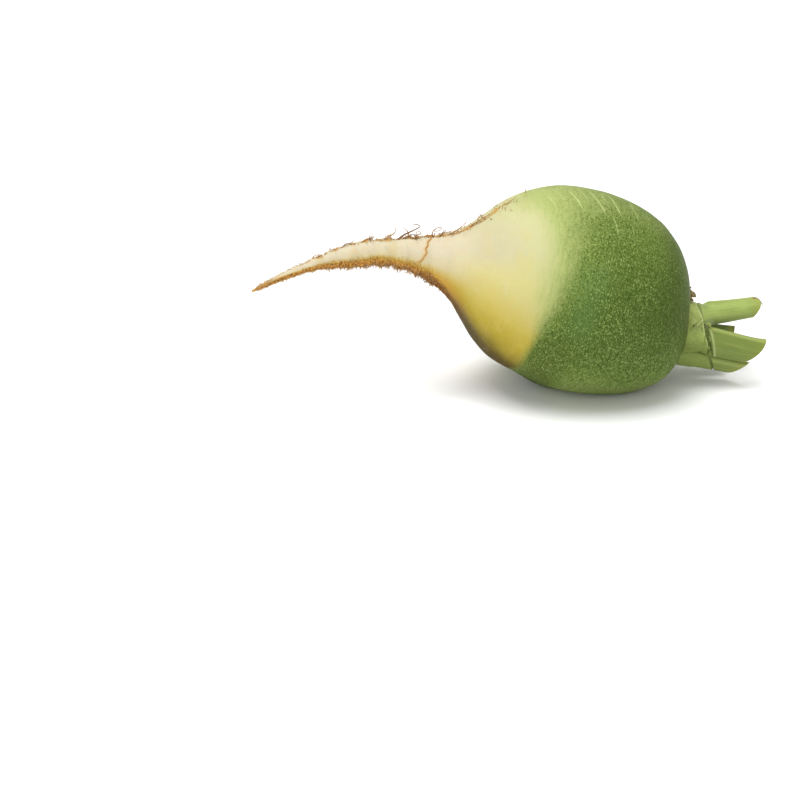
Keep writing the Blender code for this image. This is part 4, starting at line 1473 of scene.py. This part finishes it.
# Thin torn skins in the hollow below the middle stalk, as points of each strip's middle line: rise, angle in
# degrees and radius; then its half width
TORN_SKINS = (
    (((10.6, -50.0, 15.2), (12.0, -53.0, 16.2), (12.9, -57.0, 16.6), (13.1, -62.0, 16.0)), 0.7),
    (((11.8, -69.0, 15.2), (12.6, -72.0, 16.0), (12.5, -77.0, 16.1)), 0.4),
    (((9.6, -46.0, 16.0), (10.8, -48.0, 16.9), (11.6, -53.0, 16.7)), 0.8),
    (((12.2, -86.0, 15.2), (13.0, -89.0, 15.9), (13.2, -93.0, 15.6)), 0.4),
    (((6.4, -44.0, 16.6), (6.9, -50.0, 17.6), (6.2, -56.0, 17.7), (5.0, -60.0, 17.0)), 0.55),
    (((4.6, -50.0, 16.6), (4.4, -56.0, 17.5), (3.4, -61.0, 17.3), (2.6, -64.0, 16.8)), 0.45),
)
SKIN_STEPS = 26
SKIN_THICKNESS = 0.13


def torn_skins():
    """The torn skins as strips that curl: each leans across its line by a slow wave along it."""
    for number, (points, half_width) in enumerate(TORN_SKINS):
        table = np.array(points)
        line = crown_place(table[:, 0], np.radians(table[:, 1]), table[:, 2])
        share = np.linspace(0.0, 1.0, SKIN_STEPS)
        path = curve_through(line, share)
        _, facing, upper, side = crown_frame()
        swing = 2.0 * share[:, None] + number
        across = facing + 0.8 * np.sin(swing) * upper + 0.8 * np.cos(swing) * side
        width = half_width * np.sqrt(np.sin(np.pi * (0.12 + 0.8 * share)))
        width = width * (1.0 + 0.15 * np.sin(9.0 * share + number))
        yield strip_surface(path, across, width, np.full(SKIN_STEPS, SKIN_THICKNESS))


def skin_scrap_material(look):
    """Thin torn leaf skin, green and drying at its ends."""
    shader = Shader("torn_skin")
    grain = shader.noise(shader.place(), 1500.0, 3.0, 0.6)
    body = shader.layers(
        look.base,
        (shader.step(grain, 0.36, 0.6) * 0.7, look.shade),
        (shader.field("share") * 0.2, (176, 160, 106)),
    )
    return shader.finish(Base_Color=body, Roughness=0.6 + (grain - 0.5) * 0.2, Specular_IOR_Level=0.2,
                         Normal=shader.bump(grain, 0.1 * MM, 0.5))


def wisp_surface(ring):
    """The brown strand of skin that hangs off the far upper edge of the upper stalk's cut ring."""
    high = np.argmax(ring[:, 2] + 0.4 * ring[:, 0])
    start = ring[high]
    line = start + np.array([(-2.4, 0.0, -0.1), (0.0, 0.0, -0.2), (1.2, -0.1, -1.1), (2.2, -0.3, -2.4),
                             (3.2, -0.2, -3.6)])
    share = np.linspace(0.0, 1.0, SKIN_STEPS)
    path = curve_through(line, share)
    across = np.stack([0.3 + 0.0 * share, 1.0 + 0.0 * share, 0.4 * np.sin(5.0 * share)], axis=-1)
    return strip_surface(path, across, 0.85 * (1.0 - 0.75 * share), 0.4 * (1.0 - 0.5 * share))


class RADISH_OT_leaves(Operator):
    """Grow the five cut leaf stalks"""

    bl_idname = "radish.grow_leaves"
    bl_label = "Grow the leaf stalks"

    def execute(self, context):
        for name in LEAVES:
            material = leaf_material(context.scene.radish_leaves, f"stalk_{name}", *LEAF_TONES[name])
            add_piece(f"cut_stalk_{name}", *leaf_surface(name), material, f"stalk_{name}",
                      f"leaf_stalk_{name}", merge=LEAF_MERGE)
        return {"FINISHED"}


class RADISH_OT_sheath(Operator):
    """Wrap the torn sheath round the collar, with its scraps of skin"""

    bl_idname = "radish.wrap_sheath"
    bl_label = "Wrap the sheath"

    def execute(self, context):
        look = context.scene.radish_leaves
        add_piece("leaf_sheath", *sheath_surface(), sheath_material(look), "stalk_middle")
        scraps = np.stack(list(torn_skins()))
        share = np.broadcast_to(np.linspace(0.0, 1.0, SKIN_STEPS)[None, :, None], scraps.shape[:3])
        add_piece("torn_leaf_skins", scraps, {"share": share}, skin_scrap_material(look), "stalk_middle")
        ring = leaf_surface("upper")[0][LEAF_RINGS - 1]
        material = withered_material("wisp", (138, 122, 96))
        add_piece("stalk_wisp", wisp_surface(ring), {}, material, "stalk_upper")
        return {"FINISHED"}


# The young leaves, rolled round each other: the height and radius of their bud, and how many overlap
BUD_HEIGHT = 12.0
BUD_RADIUS = 3.9
BUD_LEAVES = 4
BUD_RINGS = 40
BUD_SIDES = 96


def bud_surface():
    """The rolled young leaves, cut across: each leaf's edge stands off the next as a step in the radius."""
    angles = round_angles(BUD_SIDES)[None, :]
    height = np.linspace(-0.2, BUD_HEIGHT, BUD_RINGS)[:, None]
    turn = np.mod(BUD_LEAVES * angles / (2.0 * np.pi) + 0.05 * height, 1.0)
    step = 0.55 * ease(turn / 0.9) * (1.0 - ease((turn - 0.9) / 0.1)) - 0.25
    taper = 1.0 - 0.3 * (height / BUD_HEIGHT) ** 2
    radius = (BUD_RADIUS - 0.3 + step) * taper + 0.08 * np.cos(30.0 * angles)
    slope = 0.9 * np.cos(angles - 1.0) * (height / BUD_HEIGHT) ** 3
    side = crown_place(height + slope, angles + 0.0 * height, radius)
    middle = side[-1].mean(axis=0)
    inset = np.array([0.06, 0.2, 0.35, 0.5, 0.65, 0.8, 0.92])[:, None, None]
    spiral = 0.35 * np.sin(18.0 * inset - 2.0 * angles[..., None])
    cut = side[-1] + inset * (middle - side[-1]) + spiral * crown_frame()[1] * (inset > 0.1)
    surface = np.concatenate([side, cut])
    share = np.concatenate([np.zeros(BUD_RINGS), inset[:, 0, 0]])[:, None] + 0.0 * angles
    folded = np.concatenate([turn, np.mod(3.0 * inset[..., 0] + angles / 6.3, 1.0)])
    return surface, {"cut": share, "folded": folded}


def bud_material(look):
    """Young leaves: green, pale towards each leaf's edge, with flesh where cut."""
    shader = Shader("young_leaves")
    grain = shader.noise(shader.place(), 1200.0, 3.0, 0.6)
    folded = shader.field("folded")
    body = shader.layers(
        look.shade,
        (shader.step(folded, 0.0, 0.5), look.pale),
        (shader.step(folded, 0.8, 1.0) * 0.8, look.rim),
        (shader.step(shader.field("cut"), 0.02, 0.08) * 0.7, look.flesh),
        (shader.step(grain, 0.4, 0.7) * 0.3, look.green),
    )
    return shader.finish(Base_Color=body, Roughness=0.5, Normal=shader.bump(grain, 0.12 * MM, 0.5),
                         Specular_IOR_Level=0.2)


class RADISH_OT_heart(Operator):
    """Grow the young leaves in the middle of the crown"""

    bl_idname = "radish.grow_heart"
    bl_label = "Grow the young leaves"

    def execute(self, context):
        material = bud_material(context.scene.radish_leaves)
        add_piece("young_leaves", *bud_surface(), material, "heart", "leaf_heart")
        return {"FINISHED"}


# Withered scales on the shoulder above the collar, as points of each one's middle line: how far out of the
# crown, and how far above its middle; then its place to the side, its half width, and the way it is broad:
# to the side and upwards
SCALES = (
    (((-1.4, 20.4), (0.6, 21.0), (2.4, 21.4), (3.9, 20.4)), -1.6, 2.1, (0.5, 0.85)),
    (((-1.0, 18.2), (0.8, 18.7), (2.6, 18.6), (3.9, 17.6)), -0.4, 1.8, (0.75, 0.65)),
    (((-1.2, 21.4), (0.3, 21.9), (1.5, 22.6), (2.2, 23.4)), 3.4, 2.3, (1.0, 0.1)),
    (((-0.8, 19.6), (0.9, 20.2), (2.4, 20.6), (3.3, 21.6)), 4.2, 2.6, (1.0, -0.2)),
)
SCALE_STEPS = 30
SCALE_SIDES = 24


def scale_surfaces():
    """The scales: broad strips that narrow to a point, buckled by waves along and across."""
    centre, facing, upper, side = crown_frame()
    share = np.linspace(0.0, 1.0, SCALE_STEPS)
    for number, (points, aside, half_width, broad) in enumerate(SCALES):
        table = np.array(points)
        line = centre + table[:, :1] * facing + table[:, 1:] * upper + aside * side
        path = curve_through(line, share)
        path = path + 0.25 * np.sin(7.0 * share + number)[:, None] * side
        width = half_width * np.interp(share, (0.0, 0.35, 0.8, 1.0), (1.0, 1.05, 0.6, 0.18))
        across = np.tile(broad[0] * side + broad[1] * upper, (SCALE_STEPS, 1))
        strip = strip_surface(path, across, width, 0.42 - 0.22 * share, SCALE_SIDES)
        buckle = 0.3 * np.sin(1.9 * (strip @ side) + 1.3 * number + 5.0 * share[:, None])
        buckle = buckle + 0.25 * lumps(strip, 1.1, 41 + number)
        yield strip + buckle[..., None] * facing


def withered_material(name, shade):
    """Dry papery plant skin: brown, with paler fibres along it and dark spots."""
    shader = Shader(name)
    place = shader.place()
    fibre = shader.noise(place, (500.0, 2400.0, 700.0), 4.0, 0.65)
    cloud = shader.noise(place, 600.0, 3.0, 0.6)
    body = shader.layers(
        shade,
        (shader.step(fibre, 0.45, 0.62) * 0.6, (172, 148, 104)),
        (shader.step(cloud, 0.48, 0.66) * 0.6, (84, 64, 38)),
        (shader.step(cloud, 0.44, 0.3) * 0.4, (146, 122, 80)),
    )
    return shader.finish(Base_Color=body, Roughness=0.78 + (fibre - 0.5) * 0.2, Specular_IOR_Level=0.15,
                         Normal=shader.bump(fibre, 0.2 * MM, 0.7))


class RADISH_OT_dry_skin(Operator):
    """Add the withered scales on the shoulder"""

    bl_idname = "radish.add_dry_skin"
    bl_label = "Add the withered scales"

    def execute(self, context):
        material = withered_material("dry_scale", (104, 94, 56))
        scales = np.stack(list(scale_surfaces()))
        add_piece("withered_scale", scales, {}, material, "dry_scale", "dry_scale")
        return {"FINISHED"}


# The stage, in metres: half the floor's width, and each soft light's place and width
FLOOR_HALF = 2.5
OVERHEAD = ((-0.38, -0.14, 1.78), 1.2)
FRONT_FILL = ((-0.25, -1.1, 0.45), 0.9)
WHITE = (1.0, 1.0, 1.0, 1.0)
# The camera's lens and sensor in millimetres, and the photograph's width in pixels
LENS = 90.0
SENSOR = 36.0
PIXELS = 800.0
# The body's middle, and the pixel of the photograph where it lies
AIM = (0.0, 0.0, 50.0)
AIM_PIXEL = (578.5, 289.0)


def camera_place(look):
    """Where the camera stands: back from the aim, and aside so that the aim falls on its pixel."""
    a, e = look.azimuth, look.elevation
    right = Vector((math.cos(a), math.sin(a), 0.0))
    back = Vector((math.sin(a) * math.cos(e), -math.cos(a) * math.cos(e), math.sin(e)))
    up = back.cross(right)
    per_pixel = look.distance * SENSOR / LENS / PIXELS
    middle = 0.5 * PIXELS
    aside = right * (middle - AIM_PIXEL[0]) * per_pixel + up * (AIM_PIXEL[1] - middle) * per_pixel
    return Vector(AIM) * MM + aside + back * look.distance, back


class RADISH_OT_stage(Operator):
    """Set the floor, the soft light and the camera"""

    bl_idname = "radish.set_stage"
    bl_label = "Set the stage"

    def execute(self, context):
        look = context.scene.radish_stage
        add_floor(look)
        add_light("overhead", *OVERHEAD, look.light)
        add_light("front_fill", *FRONT_FILL, look.fill)
        world = bpy.data.worlds.new("studio")
        world.use_nodes = True
        sky = world.node_tree.nodes["Background"].inputs
        sky["Color"].default_value = WHITE
        sky["Strength"].default_value = look.sky
        context.scene.world = world
        context.scene.view_settings.view_transform = "Standard"
        add_camera(look)
        return {"FINISHED"}


def add_floor(look):
    """A wide flat floor in a plain pale finish."""
    mesh = bpy.data.meshes.new("floor")
    h = FLOOR_HALF
    mesh.from_pydata([(-h, -h, 0.0), (h, -h, 0.0), (h, h, 0.0), (-h, h, 0.0)], [], [(0, 1, 2, 3)])
    finish = {"Base_Color": look.floor, "Roughness": 0.9, "Specular_IOR_Level": 0.1}
    mesh.materials.append(Shader("floor").finish(**finish))
    add_object("floor", mesh)


def add_light(name, at, size, power):
    """A square soft light at a place in metres, turned to the part."""
    data = bpy.data.lights.new(name, "AREA")
    data.shape = "SQUARE"
    data.size = size
    data.energy = power
    light = add_object(name, data)
    light.location = at
    light.rotation_euler = (Vector(AIM) * MM - Vector(at)).to_track_quat("-Z", "Y").to_euler()


def add_camera(look):
    """The camera at the photograph's angle."""
    at, back = camera_place(look)
    data = bpy.data.cameras.new("camera")
    data.lens = LENS
    data.sensor_width = SENSOR
    data.clip_end = 20.0
    camera = add_object("camera", data)
    camera.location = at
    camera.rotation_euler = back.to_track_quat("Z", "Y").to_euler()
    bpy.context.scene.camera = camera


class RADISH_PT_panel(Panel):
    """The radish's operators and settings"""

    bl_idname = "RADISH_PT_panel"
    bl_label = "Radish"
    bl_space_type = "VIEW_3D"
    bl_region_type = "UI"
    bl_category = "Radish"

    def draw(self, context):
        for operator in OPERATORS:
            self.layout.operator(operator.bl_idname)


OPERATORS = (
    RADISH_OT_root, RADISH_OT_rootlets, RADISH_OT_leaves, RADISH_OT_sheath, RADISH_OT_heart,
    RADISH_OT_dry_skin, RADISH_OT_stage,
)
SETTINGS = {
    "radish_root": RootSettings,
    "radish_rootlets": RootletSettings,
    "radish_leaves": LeafSettings,
    "radish_stage": StageSettings,
}


def register():
    for group in SETTINGS.values():
        bpy.utils.register_class(group)
    for kind in (*OPERATORS, RADISH_PT_panel):
        bpy.utils.register_class(kind)
    for name, group in SETTINGS.items():
        setattr(bpy.types.Scene, name, PointerProperty(type=group))


def unregister():
    for name in SETTINGS:
        delattr(bpy.types.Scene, name)
    for kind in (RADISH_PT_panel, *reversed(OPERATORS)):
        bpy.utils.unregister_class(kind)
    for group in reversed(list(SETTINGS.values())):
        bpy.utils.unregister_class(group)


def main():
    register()
    bpy.ops.radish.build_root()
    bpy.ops.radish.grow_rootlets()
    bpy.ops.radish.grow_leaves()
    bpy.ops.radish.wrap_sheath()
    bpy.ops.radish.grow_heart()
    bpy.ops.radish.add_dry_skin()
    bpy.ops.radish.set_stage()


if __name__ == "__main__":
    main()
